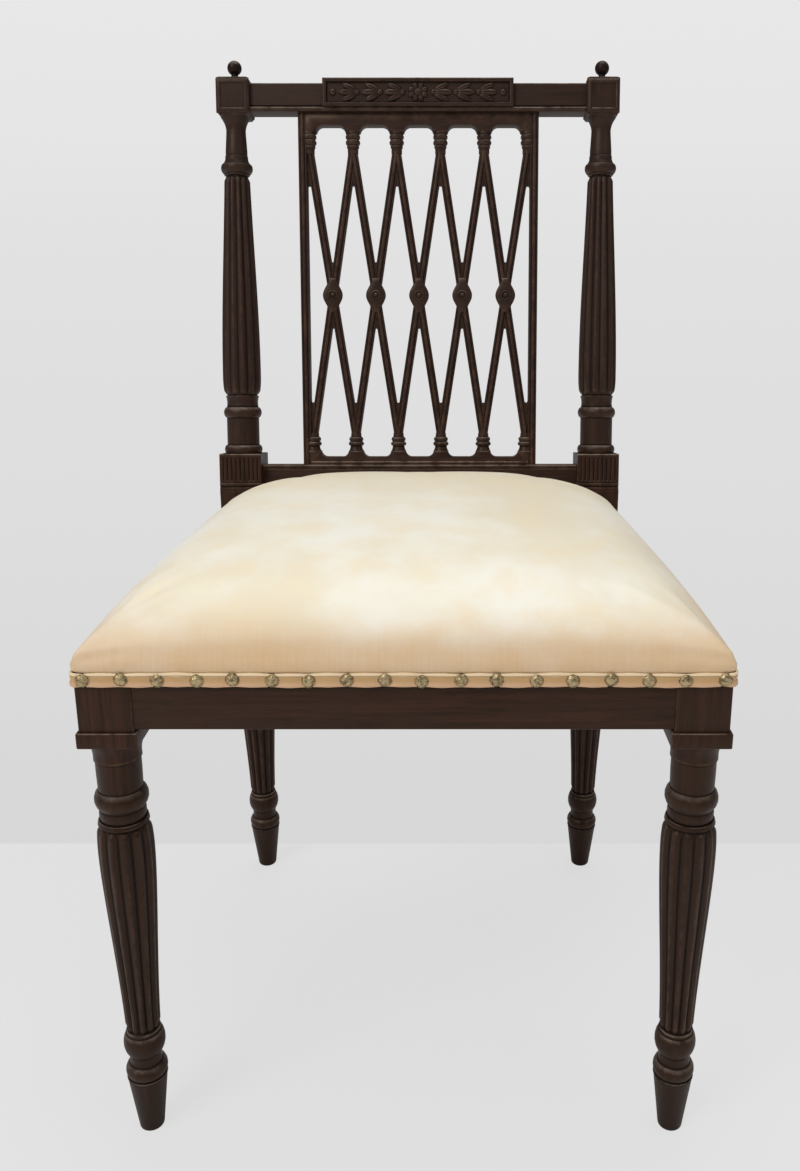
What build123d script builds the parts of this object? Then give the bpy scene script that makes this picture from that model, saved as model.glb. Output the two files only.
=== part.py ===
from build123d import *
from math import asin, atan2, cos, degrees, hypot, radians, sin, sqrt, tan
import os

# Neoclassical side chair: turned and reeded mahogany frame, lattice back, stuffed-over seat.
# Millimetres, +Z up, +Y from the front of the seat to its back, +X to the right seen from the front.

# Seat frame
front_leg_spacing = 450.0
back_post_spacing = 384.4
seat_depth = 388.0
rail_underside = 384.0
rail_height = 46.0
rail_thickness = 24.0
rail_recess = 1.0
front_block_width = 42.0
post_block_width = 45.0

# Mortise and tenon joints
tenon_thickness = 9.0
tenon_length = 18.0
tenon_shoulder = 7.0
joint_fit = 0.15

# Turned leg, from the floor up
foot_tip_radius = 10.2
foot_top_radius = 16.7
foot_height = 54.0
ankle_torus_radius = 17.3
ankle_torus_height = 13.0
ankle_neck_radius = 13.5
ankle_neck_height = 11.0
ankle_ring_radius = 17.2
ankle_ring_height = 20.0
vase_foot_radius = 14.4
vase_middle_radius = 18.4
vase_bulb_radius = 22.0
vase_bulb_drop = 30.0
vase_shoulder_radius = 19.5
knee_collar_radius = 18.2
knee_collar_height = 10.0
knee_ring_radius = 21.0
knee_ring_height = 16.0
knee_neck_radius = 17.6
knee_neck_height = 27.0
leg_cove_height = 16.0
leg_cap_width = 46.5
leg_cap_height = 13.0
leg_cap_drop = 2.0
leg_cove_radius = 21.2
quirk = 1.0
back_foot_rake = 16.0

# Reeds of the legs and columns
reed_count = 12
reed_depth = 1.5
reed_gap = 1.8
reed_margin = 6.0

# Back, in the plane that leans back from the seat blocks
back_rake_angle = 8.72
rake_rise = 94.0
seat_block_rise = 36.5
seat_block_reed_count = 8
seat_block_reed_margin = 4.0
column_base_radius = 20.2
column_base_height = 9.0
column_drum_radius = 17.2
column_drum_height = 30.0
column_ring_radius = 20.2
column_ring_height = 11.0
column_cove_radius = 16.6
column_cove_height = 11.0
column_foot_radius = 17.4
column_bulb_radius = 20.3
column_bulb_rise = 21.0
column_middle_radius = 17.4
column_top_radius = 13.2
column_crown_radius = 16.3
column_crown_height = 14.0
column_neck_radius = 11.5
column_neck_height = 36.0
column_flare_radius = 16.3
column_flare_height = 11.0
top_block_width = 34.0
top_block_height = 34.0
top_block_margin = 6.0
top_block_sinking = 1.8
top_block_ease = 2.5
top_block_top = 425.5

# Crest, tablet and stay rail
top_rail_height = 28.8
top_rail_thickness = 22.0
top_rail_drop = 4.9
crest_rise = 3.9
crest_bead = 4.4
tablet_width = 198.0
tablet_thickness = 5.0
tablet_border = 4.0
tablet_sinking = 2.0
tablet_rosette_radius = 9.0
tablet_leaf_count = 3
tablet_leaf_length = 19.0
tablet_leaf_width = 15.0
tablet_leaf_root = 7.5
tablet_leaf_belly = 7.6
stay_rail_height = 24.4
stay_rail_thickness = 20.0
back_tenon_length = 12.0
back_tenon_shoulder = 6.0

# Finials
finial_ball_radius = 7.4
finial_neck_radius = 3.6
finial_neck_height = 6.0
finial_spigot_radius = 3.5
finial_spigot_length = 9.0

# Lattice
splat_width = 252.4
splat_thickness = 14.0
stile_width = 8.6
stile_tenon_length = 7.0
stile_tenon_width = 5.0
end_column_inset = 2.35
bay_count = 5
column_pitch = (splat_width - 2 * stile_width - 2 * end_column_inset) / bay_count
arch_rise = 6.5
splat_top_rail_height = 18.8
splat_bottom_rail_height = 15.0
upper_capital_height = 20.0
lower_capital_height = 17.5
capital_radius = 7.7
capital_groove = 1.2
capital_neck_radius = 5.8
capital_neck_share = 0.28
bar_width = 8.6
bar_thickness = 10.0
bar_bead_width = 4.0
bar_bead_height = 1.4
rosette_radius = 10.8
rosette_thickness = 3.0
rosette_boss_radius = 4.2
rosette_boss_height = 2.4
rosette_peg_radius = 2.0
rosette_peg_length = 6.0

# Seat filling and cover
webbing_width = 50.0
webbing_thickness = 1.5
webbing_inset = 5.0
crosswise_webs = 4
lengthwise_webs = 4
tack_head_radius = 3.2
tack_head_height = 0.8
tack_radius = 0.9
tack_length = 11.0
tacks_per_end = 3
hessian_thickness = 1.0
hessian_inset = 4.0
stuffing_crown = 70.0
stuffing_edge = 13.0
front_roll = 66.0
back_roll = 74.0
shoulder_run = 60.0
stuffing_back_gap = 2.5
pad_side_share = 0.22
pad_turn_share = 0.73
pad_shoulder_share = 0.93
pad_turn_run = 0.36
cover_thickness = 1.3
cover_ease = 0.15
post_ease = 1.0
band_height = 12.0
band_drop = 10.0
band_thickness = 2.4

# Nails and screws
nail_pitch = 28.5
nail_end_margin = 8.0
nail_head_radius = 5.4
nail_head_height = 3.0
nail_radius = 0.9
nail_length = 14.0
nail_fit = 0.1
corner_block_reach = 55.0
corner_block_height = 36.0
corner_block_drop = 6.0
glue_line = 0.1
screw_radius = 2.0
screw_head_radius = 4.0
screw_head_height = 3.0
screw_seat = 10.0
screw_bite = 15.0
screw_place = 38.0
screw_fit = 0.1

# Places worked out from the sizes above
rail_top = rail_underside + rail_height
leg_x = front_leg_spacing / 2
post_x = back_post_spacing / 2
front_half = front_block_width / 2
post_half = post_block_width / 2
front_inner_x = leg_x - front_half
post_inner_x = post_x - post_half
post_front_y = seat_depth - post_half
post_back_y = seat_depth + post_half
front_rail_y = (rail_recess - front_half, rail_recess - front_half + rail_thickness)
back_rail_y = (post_back_y - rail_recess - rail_thickness, post_back_y - rail_recess)
rail_z = (rail_underside, rail_top)
tenon_z = (rail_underside + tenon_shoulder, rail_top - tenon_shoulder)
cap_top = rail_underside - leg_cap_drop
rake_start = rail_underside + rake_rise
cap_bottom = cap_top - leg_cap_height
rake = radians(back_rake_angle)
back_frame = Plane((0, seat_depth, rake_start), x_dir=(1, 0, 0), z_dir=(0, -cos(rake), sin(rake))).location
top_block_bottom = top_block_top - top_block_height
top_block_inner_x = post_x - top_block_width / 2
top_rail_top = top_block_top - top_rail_drop
top_rail_bottom = top_rail_top - top_rail_height
side_slope = (post_x + post_half - leg_x - front_half) / (post_front_y + front_half)
side_stretch = hypot(1, side_slope)


# Shared shapes
def slab(x, y, z):
    """Box between three pairs of limits."""
    limits = (x, y, z)
    middle = [(low + high) / 2 for low, high in limits]
    return Pos(*middle) * Box(*[high - low for low, high in limits])


def prism(points, z):
    """Upright prism on a plan outline."""
    face = make_face(Polyline(*points, close=True))
    return Pos(0, 0, z[0]) * extrude(face, z[1] - z[0], dir=(0, 0, 1))


def profile_face(start, *cuts):
    """Half section of a turning. A cut is a point for a straight run, two for an arc, or a ready edge."""
    edges = [Line((0, start[1]), start)]
    at = start
    for cut in cuts:
        if isinstance(cut, Edge):
            edges.append(cut)
            at = ((cut @ 1).X, (cut @ 1).Y)
        elif isinstance(cut, list):
            edges.append(ThreePointArc(at, *cut))
            at = cut[-1]
        else:
            edges.append(Line(at, cut))
            at = cut
    if at[0] > 0:
        edges.append(Line(at, (0, at[1])))
    edges.append(Line((0, at[1]), (0, start[1])))
    return make_face(edges)


def turning(start, *cuts):
    """Solid turned about Z from a half section."""
    return revolve(Plane.XZ * profile_face(start, *cuts), Axis.Z)


def cove(start, end):
    """Hollow curve that leaves its start upright and spreads to its end."""
    middle = (start[0] + (end[0] - start[0]) * (1 - sqrt(0.5)), start[1] + (end[1] - start[1]) * sqrt(0.5))
    return [middle, end]


def dome(radius, height, base):
    """Curve of a spherical cap, from its rim at the base up to the axis."""
    ball = (radius ** 2 + height ** 2) / (2 * height)
    half_angle = asin(min(1, radius / ball)) / 2
    return [(ball * sin(half_angle), base + height - ball * (1 - cos(half_angle))), (0, base + height)]


def swelling(points, bulb, inward):
    """Two smooth edges through the points, upright at the bulb, moved inward from the surface."""
    moved = [(radius - inward, height) for radius, height in points]
    start = Vector(*moved[1]) - Vector(*moved[0])
    end = Vector(*moved[-1]) - Vector(*moved[-2])
    upright = (0, 1)
    return [Spline(*moved[:bulb + 1], tangents=[start, upright]),
            Spline(*moved[bulb:], tangents=[upright, end])]


def reed_cutters(points, bulb):
    """Narrow slots that leave reeds on a swelling, clear of both its ends."""
    foot, top = points[0][1], points[-1][1]
    outside = points[bulb][0] + reed_depth
    floor = swelling(points, bulb, reed_depth)
    outline = floor + [Polyline(floor[1] @ 1, (outside, top), (outside, foot), floor[0] @ 0)]
    slot = extrude(Plane.XZ * make_face(outline), reed_gap / 2, both=True)
    slot &= slab((0, outside), (-reed_gap, reed_gap), (foot + reed_margin, top - reed_margin))
    return [Rot(0, 0, 360 * (turn + 0.5) / reed_count) * slot for turn in range(reed_count)]


def group(pieces):
    """Separate solids under one name."""
    return Compound([solid for piece in pieces for solid in piece.solids()])


def side_x(y, inset):
    """X of a line parallel to the right side of the seat, inset from the outer faces of its blocks."""
    return leg_x + front_half + (y + front_half) * side_slope - inset * side_stretch


def side_strip(y, inset, z):
    """Prism between two inset lines along the right side of the seat."""
    corners = [(side_x(y[0], inset[0]), y[0]), (side_x(y[1], inset[0]), y[1]),
               (side_x(y[1], inset[1]), y[1]), (side_x(y[0], inset[1]), y[0])]
    return prism(corners, z)


def widen(limits, by):
    """A pair of limits opened by a clearance at both ends."""
    return (limits[0] - by, limits[1] + by)


# Tenons of the seat rails, used for the rails themselves and, with a fit, for their mortises
def front_tenon(fit):
    middle = sum(front_rail_y) / 2
    y = widen((middle - tenon_thickness / 2, middle + tenon_thickness / 2), fit)
    return slab((front_inner_x, front_inner_x + tenon_length + fit), y, widen(tenon_z, fit))


def back_tenon(fit):
    middle = sum(back_rail_y) / 2
    y = widen((middle - tenon_thickness / 2, middle + tenon_thickness / 2), fit)
    return slab((post_inner_x, post_inner_x + tenon_length + fit), y, widen(tenon_z, fit))


def side_tenon(y, fit):
    middle = rail_recess + rail_thickness / 2
    inset = widen((middle - tenon_thickness / 2, middle + tenon_thickness / 2), fit)
    return side_strip(y, inset, widen(tenon_z, fit))


def front_side_tenon(fit):
    return side_tenon((front_half - tenon_length - fit, front_half), fit)


def back_side_tenon(fit):
    return side_tenon((post_front_y, post_front_y + tenon_length + fit), fit)


# Nails that hold the band: places, heads and the holes for them
nail_z = rail_top - band_drop + band_height / 2
band_face = cover_ease + cover_thickness + band_thickness


def spread(low, high):
    """Even places between two limits, about a nail pitch apart."""
    steps = max(1, round((high - low) / nail_pitch))
    return [low + (high - low) * step / steps for step in range(steps + 1)]


def nail_places(face):
    """Frames on the outside of the seat, face out from the wood, with Z pointing outwards."""
    corner = leg_x + front_half - nail_end_margin
    front = [Plane((x, -front_half - face, nail_z), x_dir=(1, 0, 0), z_dir=(0, -1, 0))
             for x in spread(-corner, corner)]
    end = post_inner_x - nail_end_margin
    back = [Plane((x, post_back_y + face, nail_z), x_dir=(1, 0, 0), z_dir=(0, 1, 0))
            for x in spread(-end, end)]
    sides = []
    for y in spread(nail_end_margin, post_front_y - nail_end_margin):
        for hand in (1, -1):
            sides.append(Plane((hand * side_x(y, -face), y, nail_z), x_dir=(0, 0, 1),
                               z_dir=(hand, -side_slope, 0)))
    return [plane.location for plane in front + back + sides]


def nail():
    return turning((nail_radius, -nail_length), (nail_radius, 0), (nail_head_radius, 0),
                   dome(nail_head_radius, nail_head_height, 0))


nail_frames = nail_places(band_face)
nail_hole = Pos(0, 0, -nail_length / 2) * Cylinder(nail_radius + nail_fit, nail_length + 2 * nail_fit)
nail_holes = [frame * nail_hole for frame in nail_frames]


def drilled(part):
    """The part with a hole for every nail that reaches it."""
    box = part.bounding_box()
    near = [hole for hole in nail_holes if box.overlaps(hole.bounding_box())]
    return part - near if near else part


# Corner braces of the seat frame and their screws
def corner_outline(block_x, block_y, rail_y, towards):
    """Plan of a brace round the inner corner of a leg block. Towards is +1 at the front, -1 at the back."""
    inset = rail_recess + rail_thickness + glue_line
    near = rail_y + towards * glue_line
    face = block_y + towards * glue_line
    far = block_y + towards * corner_block_reach
    x = block_x - glue_line
    return [(x, near), (x - corner_block_reach, near), (side_x(far, inset), far), (side_x(face, inset), face),
            (x, face)]


def screw_frames(block_x, block_y, rail_y, towards):
    """Frames on the rails' inner faces, with Z pointing into the brace."""
    z = rail_top - corner_block_drop - corner_block_height / 2
    along = Plane((block_x - screw_place, rail_y, z), z_dir=(0, towards, 0))
    y = block_y + towards * screw_place
    across = Plane((side_x(y, rail_recess + rail_thickness), y, z), z_dir=(-1, side_slope, 0))
    return [along.location, across.location]


def screw(fit, room):
    """Screw with its seat on the brace. Room is added above the head, to clear a way for it."""
    shank = Cylinder(screw_radius + fit, screw_seat + screw_bite + fit)
    head = Cylinder(screw_head_radius + fit, screw_head_height + room)
    return (Pos(0, 0, (screw_seat - screw_bite - fit) / 2) * shank
            + Pos(0, 0, screw_seat + (screw_head_height + room) / 2) * head)


front_corner = (front_inner_x, front_half, front_rail_y[1], 1)
back_corner = (post_inner_x, post_front_y, back_rail_y[0], -1)
right_screw_frames = screw_frames(*front_corner) + screw_frames(*back_corner)
screw_ways = [frame * screw(screw_fit, corner_block_reach) for frame in right_screw_frames]
all_screw_ways = screw_ways + [mirror(way, about=Plane.YZ) for way in screw_ways]


def corner_block(corner):
    top = rail_top - corner_block_drop
    return prism(corner_outline(*corner), (top - corner_block_height, top)) - screw_ways


# Webbing and its tacks
cross_z = rail_top
length_z = rail_top + webbing_thickness
web_top = length_z + webbing_thickness
hessian_z = web_top + tack_head_height
stuffing_base = hessian_z + hessian_thickness + glue_line


def web_lines(count, low, high):
    """Middles of evenly spaced strips between two limits."""
    return [low + (high - low) * (step + 0.5) / count for step in range(count)]


cross_lines = web_lines(crosswise_webs, front_rail_y[1], back_rail_y[0])
length_lines = web_lines(lengthwise_webs, -post_inner_x, post_inner_x)
length_y = (front_rail_y[0] + webbing_inset, back_rail_y[1] - webbing_inset)


def cross_half(y):
    return side_x(y + webbing_width / 2, rail_recess + webbing_inset)


def tack_frames():
    """Places of the tacks on top of the strips' ends."""
    offsets = [webbing_width * ((step + 0.5) / tacks_per_end - 0.5) for step in range(tacks_per_end)]
    bite = rail_thickness / 2 - webbing_inset
    frames = []
    for y in cross_lines:
        for hand in (1, -1):
            frames += [Pos(hand * (cross_half(y) - bite), y + offset, length_z) for offset in offsets]
    for x in length_lines:
        for y in (length_y[0] + bite, length_y[1] - bite):
            frames += [Pos(x + offset, y, web_top) for offset in offsets]
    return frames


def tack():
    shank = Pos(0, 0, -tack_length / 2) * Cylinder(tack_radius, tack_length)
    return shank + Pos(0, 0, tack_head_height / 2) * Cylinder(tack_head_radius, tack_head_height)


tack_places = tack_frames()
tack_hole = Pos(0, 0, -tack_length / 2) * Cylinder(tack_radius + nail_fit, tack_length + 2 * nail_fit)
tack_holes = [place * tack_hole for place in tack_places]


def tacked(part):
    """The part with a hole for every tack that reaches it."""
    box = part.bounding_box()
    near = [hole for hole in tack_holes if box.overlaps(hole.bounding_box())]
    return part - near if near else part


# Seat rails
def front_seat_rail():
    rail = slab((-front_inner_x, front_inner_x), front_rail_y, rail_z)
    rail += [front_tenon(0), mirror(front_tenon(0), about=Plane.YZ)]
    return tacked(drilled(rail - all_screw_ways))


def back_seat_rail():
    rail = slab((-post_inner_x, post_inner_x), back_rail_y, rail_z)
    rail += [back_tenon(0), mirror(back_tenon(0), about=Plane.YZ)]
    return tacked(drilled(rail - all_screw_ways))


def side_seat_rail():
    rail = side_strip((front_half, post_front_y), (rail_recess, rail_recess + rail_thickness), rail_z)
    rail += [front_side_tenon(0), back_side_tenon(0)]
    return tacked(drilled(rail - screw_ways))


# Legs and posts
vase_foot = foot_height + ankle_torus_height + ankle_neck_height + ankle_ring_height
knee_neck_bottom = cap_bottom - leg_cove_height - knee_neck_height
knee_ring_bottom = knee_neck_bottom - knee_ring_height
vase_top = knee_ring_bottom - knee_collar_height
vase_bulb = vase_top - vase_bulb_drop
vase_points = [(vase_foot_radius, vase_foot), (vase_middle_radius, (vase_foot + vase_bulb) / 2),
               (vase_bulb_radius, vase_bulb), (vase_shoulder_radius, vase_top)]


def turned_leg(below):
    """Leg from the floor, or a little below it, up into the cap. Reeded between ankle and knee."""
    torus_top = foot_height + ankle_torus_height
    neck_top = torus_top + ankle_neck_height
    cove_bottom = cap_bottom - leg_cove_height
    foot_slope = (foot_top_radius - foot_tip_radius) / foot_height
    leg = turning(
        (foot_tip_radius - foot_slope * below, -below), (foot_top_radius, foot_height),
        [(ankle_torus_radius, foot_height + ankle_torus_height / 2), (ankle_neck_radius + quirk, torus_top)],
        [(ankle_neck_radius, torus_top + ankle_neck_height / 2), (ankle_neck_radius + quirk, neck_top)],
        [(ankle_ring_radius, neck_top + ankle_ring_height / 2), (vase_foot_radius, vase_foot)],
        *swelling(vase_points, 2, 0),
        [(knee_collar_radius, vase_top + knee_collar_height / 2),
         (knee_neck_radius + quirk, knee_ring_bottom)],
        [(knee_ring_radius, knee_ring_bottom + knee_ring_height / 2), (knee_neck_radius, knee_neck_bottom)],
        (knee_neck_radius, cove_bottom),
        cove((knee_neck_radius, cove_bottom), (leg_cove_radius, cap_bottom)), (leg_cove_radius, cap_top))
    leg -= reed_cutters(vase_points, 2)
    cap_half = leg_cap_width / 2
    cap = slab((-cap_half, cap_half), (-cap_half, cap_half), (cap_bottom, cap_top))
    return leg + chamfer(cap.edges().group_by(Axis.Z)[-1], leg_cap_drop / 2)


def front_leg():
    block = prism([(front_inner_x, -front_half), (side_x(-front_half, 0), -front_half),
                   (side_x(front_half, 0), front_half), (front_inner_x, front_half)], (cap_top, rail_top))
    leg = Pos(leg_x, 0, 0) * turned_leg(0) + block
    return drilled(leg - front_tenon(joint_fit) - front_side_tenon(joint_fit))


def seat_block():
    """Square of a back post, upright below and leaning back above, with a reeded front."""
    lean = post_half * tan(rake / 2)
    up = (sin(rake) * seat_block_rise, cos(rake) * seat_block_rise)
    out = (cos(rake) * post_half, -sin(rake) * post_half)
    side = [(-post_half, cap_top), (-post_half, rake_start + lean),
            (up[0] - out[0], rake_start + up[1] - out[1]), (up[0] + out[0], rake_start + up[1] + out[1]),
            (post_half, rake_start - lean), (post_half, cap_top)]
    face = make_face(Polyline(*side, close=True))
    block = Pos(post_x, seat_depth, 0) * extrude(Plane.YZ * face, post_half, both=True)
    pitch = (post_block_width - 2 * seat_block_reed_margin) / seat_block_reed_count
    reach = (2 * seat_block_reed_margin, seat_block_rise - seat_block_reed_margin)
    slots = [slab(widen((post_x + step * pitch, post_x + step * pitch), reed_gap / 2), reach,
                  (post_half - reed_depth, post_half + reed_depth))
             for step in [place - seat_block_reed_count / 2 for place in range(seat_block_reed_count + 1)]]
    return block - [back_frame * slot for slot in slots]


column_foot = (seat_block_rise + column_base_height + column_drum_height + column_ring_height
               + column_cove_height)
column_flare_bottom = top_block_bottom - column_flare_height
column_crown_bottom = column_flare_bottom - column_neck_height - column_crown_height
column_bulb = column_foot + column_bulb_rise
column_points = [(column_foot_radius, column_foot), (column_bulb_radius, column_bulb),
                 (column_middle_radius, (column_bulb + column_crown_bottom) / 2),
                 (column_top_radius, column_crown_bottom)]


def turned_column():
    """Reeded column of the back, from the seat block to the top block, about its own upright axis."""
    drum_bottom = seat_block_rise + column_base_height
    drum_top = drum_bottom + column_drum_height
    ring_top = drum_top + column_ring_height
    crown_top = column_crown_bottom + column_crown_height
    column = turning(
        (column_drum_radius, seat_block_rise - column_base_height), (column_drum_radius, seat_block_rise),
        [(column_base_radius, seat_block_rise + column_base_height / 2), (column_drum_radius, drum_bottom)],
        (column_drum_radius, drum_top),
        [(column_ring_radius, drum_top + column_ring_height / 2), (column_cove_radius + quirk, ring_top)],
        [(column_cove_radius, ring_top + column_cove_height / 2), (column_foot_radius, column_foot)],
        *swelling(column_points, 1, 0),
        [(column_crown_radius, column_crown_bottom + column_crown_height / 2),
         (column_neck_radius + quirk, crown_top)],
        [(column_neck_radius, crown_top + column_neck_height / 2),
         (column_neck_radius + quirk, column_flare_bottom)],
        cove((column_neck_radius + quirk, column_flare_bottom), (column_flare_radius, top_block_bottom)),
        (column_flare_radius, top_block_bottom + top_block_margin))
    return column - reed_cutters(column_points, 1)


def top_block():
    """Square block at the head of a post, in the leaning plane, with a sunk square on its front."""
    half = top_block_width / 2
    block = slab((post_x - half, post_x + half), (top_block_bottom, top_block_top), (-half, half))
    block = chamfer(block.edges().group_by(Axis.Y)[-1], top_block_ease)
    panel = half - top_block_margin
    sinking = slab((post_x - panel, post_x + panel),
                   (top_block_bottom + top_block_margin, top_block_top - top_block_margin),
                   (half - top_block_sinking, half + top_block_sinking))
    return block - sinking


def back_post():
    tilt = degrees(atan2(back_foot_rake, cap_top))
    foot_to_cap = Pos(post_x, seat_depth, cap_top) * Rot(tilt, 0, 0) * Pos(0, 0, -cap_top)
    leg = foot_to_cap * turned_leg(foot_tip_radius / 2)
    reach = seat_depth + front_leg_spacing
    leg -= slab((-reach, reach), (-reach, reach), (-foot_height, 0))
    column = back_frame * Pos(post_x, 0, 0) * Rot(-90, 0, 0) * turned_column()
    post = seat_block() + leg + column + back_frame * top_block()
    post -= [back_tenon(joint_fit), back_side_tenon(joint_fit), back_frame * stay_tenon(joint_fit),
             back_frame * crest_tenon(joint_fit), back_frame * finial_socket()]
    return post


# Crest, stay rail and finials
def stay_tenon(fit):
    y = widen((back_tenon_shoulder, stay_rail_height - back_tenon_shoulder), fit)
    return slab((post_inner_x, post_inner_x + back_tenon_length + fit), y,
                widen((-tenon_thickness / 2, tenon_thickness / 2), fit))


def crest_tenon(fit):
    y = widen((top_rail_bottom + back_tenon_shoulder, top_rail_top - back_tenon_shoulder), fit)
    return slab((top_block_inner_x, top_block_inner_x + back_tenon_length + fit), y,
                widen((-tenon_thickness / 2, tenon_thickness / 2), fit))


def stile_tenons(fit):
    """Stub tenons at both ends of the right stile."""
    middle = splat_width / 2 - stile_width / 2
    x = widen((middle - stile_tenon_width / 2, middle + stile_tenon_width / 2), fit)
    z = widen((-tenon_thickness / 2, tenon_thickness / 2), fit)
    return [slab(x, (stay_rail_height - stile_tenon_length - fit, stay_rail_height), z),
            slab(x, (top_rail_bottom, top_rail_bottom + stile_tenon_length + fit), z)]


def both_sides(parts):
    """Parts of the right side with their mirror images."""
    return parts + [mirror(part, about=Plane.YZ) for part in parts]


def stay_rail():
    half = stay_rail_thickness / 2
    rail = slab((-post_inner_x, post_inner_x), (0, stay_rail_height), (-half, half))
    rail += both_sides([stay_tenon(0)])
    return back_frame * (rail - both_sides(stile_tenons(joint_fit)))


def top_rail():
    half = top_rail_thickness / 2
    rail = slab((-top_block_inner_x, top_block_inner_x), (top_rail_bottom, top_rail_top), (-half, half))
    rail += slab((-tablet_width / 2, tablet_width / 2), (top_rail_bottom, top_rail_top + crest_rise),
                 (-half, half))
    bead = Rot(0, 90, 0) * Cylinder(crest_bead / 2, 2 * top_block_inner_x)
    rail += both_sides([crest_tenon(0)]) + [Pos(0, top_rail_bottom + crest_bead / 2, half) * bead]
    return back_frame * (rail - both_sides(stile_tenons(joint_fit)))


def tablet_leaf(x, hand):
    """Husk lying along the tablet, from its broad end at x to a tip towards the hand."""
    half = tablet_leaf_width / 2
    root = tablet_leaf_root / 2
    belly = x + hand * tablet_leaf_belly
    tip = (x + hand * tablet_leaf_length, 0)
    edges = [ThreePointArc((x, side * root), (belly, side * half), tip) for side in (1, -1)]
    return extrude(make_face(edges + [Line((x, root), (x, -root))]), tablet_sinking, dir=(0, 0, 1))


def top_tablet():
    """Carved panel: raised border, a rosette in the middle and husks on both sides pointing to it."""
    low = top_rail_bottom + crest_bead
    high = top_rail_top + crest_rise
    face = top_rail_thickness / 2 + glue_line
    half = tablet_width / 2
    floor = face + tablet_thickness - tablet_sinking
    panel = slab((-half, half), (low, high), (face, face + tablet_thickness))
    panel -= slab((tablet_border - half, half - tablet_border), (low + tablet_border, high - tablet_border),
                  (floor, floor + tablet_thickness))
    middle = (low + high) / 2
    panel += Pos(0, middle, floor + tablet_sinking / 2) * Cylinder(tablet_rosette_radius, tablet_sinking)
    run = (half - tablet_border - tablet_rosette_radius) / tablet_leaf_count
    for place in range(tablet_leaf_count):
        for hand in (1, -1):
            start = hand * (tablet_rosette_radius + run * (place + 0.5) + tablet_leaf_length / 2)
            panel += Pos(0, middle, floor) * tablet_leaf(start, -hand)
    return back_frame * panel


def finial_socket():
    depth = finial_spigot_length + joint_fit
    hole = Cylinder(finial_spigot_radius + joint_fit, depth)
    return Pos(post_x, top_block_top - depth / 2, 0) * Rot(90, 0, 0) * hole


def finial():
    """Small ball on a neck, turned with a spigot for the socket in the top block."""
    ball = finial_neck_height + sqrt(finial_ball_radius ** 2 - finial_neck_radius ** 2)
    pin = turning((finial_spigot_radius, -finial_spigot_length), (finial_spigot_radius, 0),
                  (finial_neck_radius + quirk, 0), (finial_neck_radius, finial_neck_height),
                  [(finial_ball_radius, ball), (0, ball + finial_ball_radius)])
    return back_frame * Pos(post_x, top_block_top, 0) * Rot(-90, 0, 0) * pin


# Lattice of the back, drawn flat in the leaning plane
stile_inner_x = splat_width / 2 - stile_width
splat_half = splat_thickness / 2
arch_top_base = top_rail_bottom - splat_top_rail_height
arch_bottom_base = stay_rail_height + splat_bottom_rail_height
bars_top = arch_top_base - upper_capital_height
bars_bottom = arch_bottom_base + lower_capital_height
rosette_y = (bars_top + bars_bottom) / 2
column_places = [column_pitch * (step - bay_count / 2) for step in range(bay_count + 1)]


def splat_stile():
    stile = slab((stile_inner_x, splat_width / 2), (stay_rail_height, top_rail_bottom),
                 (-splat_half, splat_half))
    return back_frame * (stile + stile_tenons(0))


def arch(left, right, base, rise):
    """Opening with a flat crown and rounded corners. A negative rise points it down."""
    turn = abs(rise)
    inward = turn * (1 - sqrt(0.5))
    middle = base + rise * sqrt(0.5)
    outline = [Line((left, base), (right, base)),
               ThreePointArc((right, base), (right - inward, middle), (right - turn, base + rise)),
               Line((right - turn, base + rise), (left + turn, base + rise)),
               ThreePointArc((left + turn, base + rise), (left + inward, middle), (left, base))]
    return extrude(make_face(outline), splat_thickness, both=True)


def arched_rail(base, back, rise):
    """Rail between the stiles, arched on the side of the bars."""
    edge = stile_inner_x - glue_line
    rail = slab((-edge, edge), (min(base, back), max(base, back)), (-splat_half, splat_half))
    for left, right in zip(column_places[:-1], column_places[1:]):
        rail -= arch(left + capital_radius, right - capital_radius, base, rise)
    return back_frame * rail


def capital(height):
    """Two rings and a narrow neck, turned about the column, from the bars up to the arches."""
    neck = height * capital_neck_share
    ring = (height - neck) / 2
    return turning((capital_neck_radius, 0), (capital_neck_radius, neck - capital_groove),
                   (capital_radius - capital_groove, neck),
                   [(capital_radius, neck + ring / 2), (capital_radius - capital_groove, neck + ring)],
                   [(capital_radius, height - ring / 2), (capital_radius - capital_groove, height)])


def capitals(height, base, turn):
    """A row of capitals. The outer ones are cut off where they meet the stiles."""
    edge = stile_inner_x - glue_line
    room = slab((-edge, edge), (-top_block_top, 2 * top_block_top), (-splat_width, splat_width))
    pieces = [room & (Pos(x, base, 0) * Rot(turn, 0, 0) * capital(height)) for x in column_places]
    return back_frame * group(pieces)


bar_rise = bars_top - bars_bottom
bar_lean = degrees(atan2(column_pitch, bar_rise))


def bar_strip(x, hand, section):
    """Long prism of the section, leaning to one hand through the crossing at x."""
    strip = Rot(90, 0, 0) * extrude(section, bar_rise + column_pitch, both=True)
    return Pos(x, rosette_y, 0) * Rot(0, 0, -hand * bar_lean) * strip


def bar_section():
    """Flat bar with a raised bead along the middle of its front."""
    half = bar_width / 2
    bead = bar_bead_width / 2
    front = bar_thickness / 2
    flat = front - bar_bead_height
    sides = Polyline((bead, flat), (half, flat), (half, -front), (-half, -front), (-half, flat),
                     (-bead, flat))
    return make_face([sides, ThreePointArc((-bead, flat), (0, front), (bead, flat))])


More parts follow.
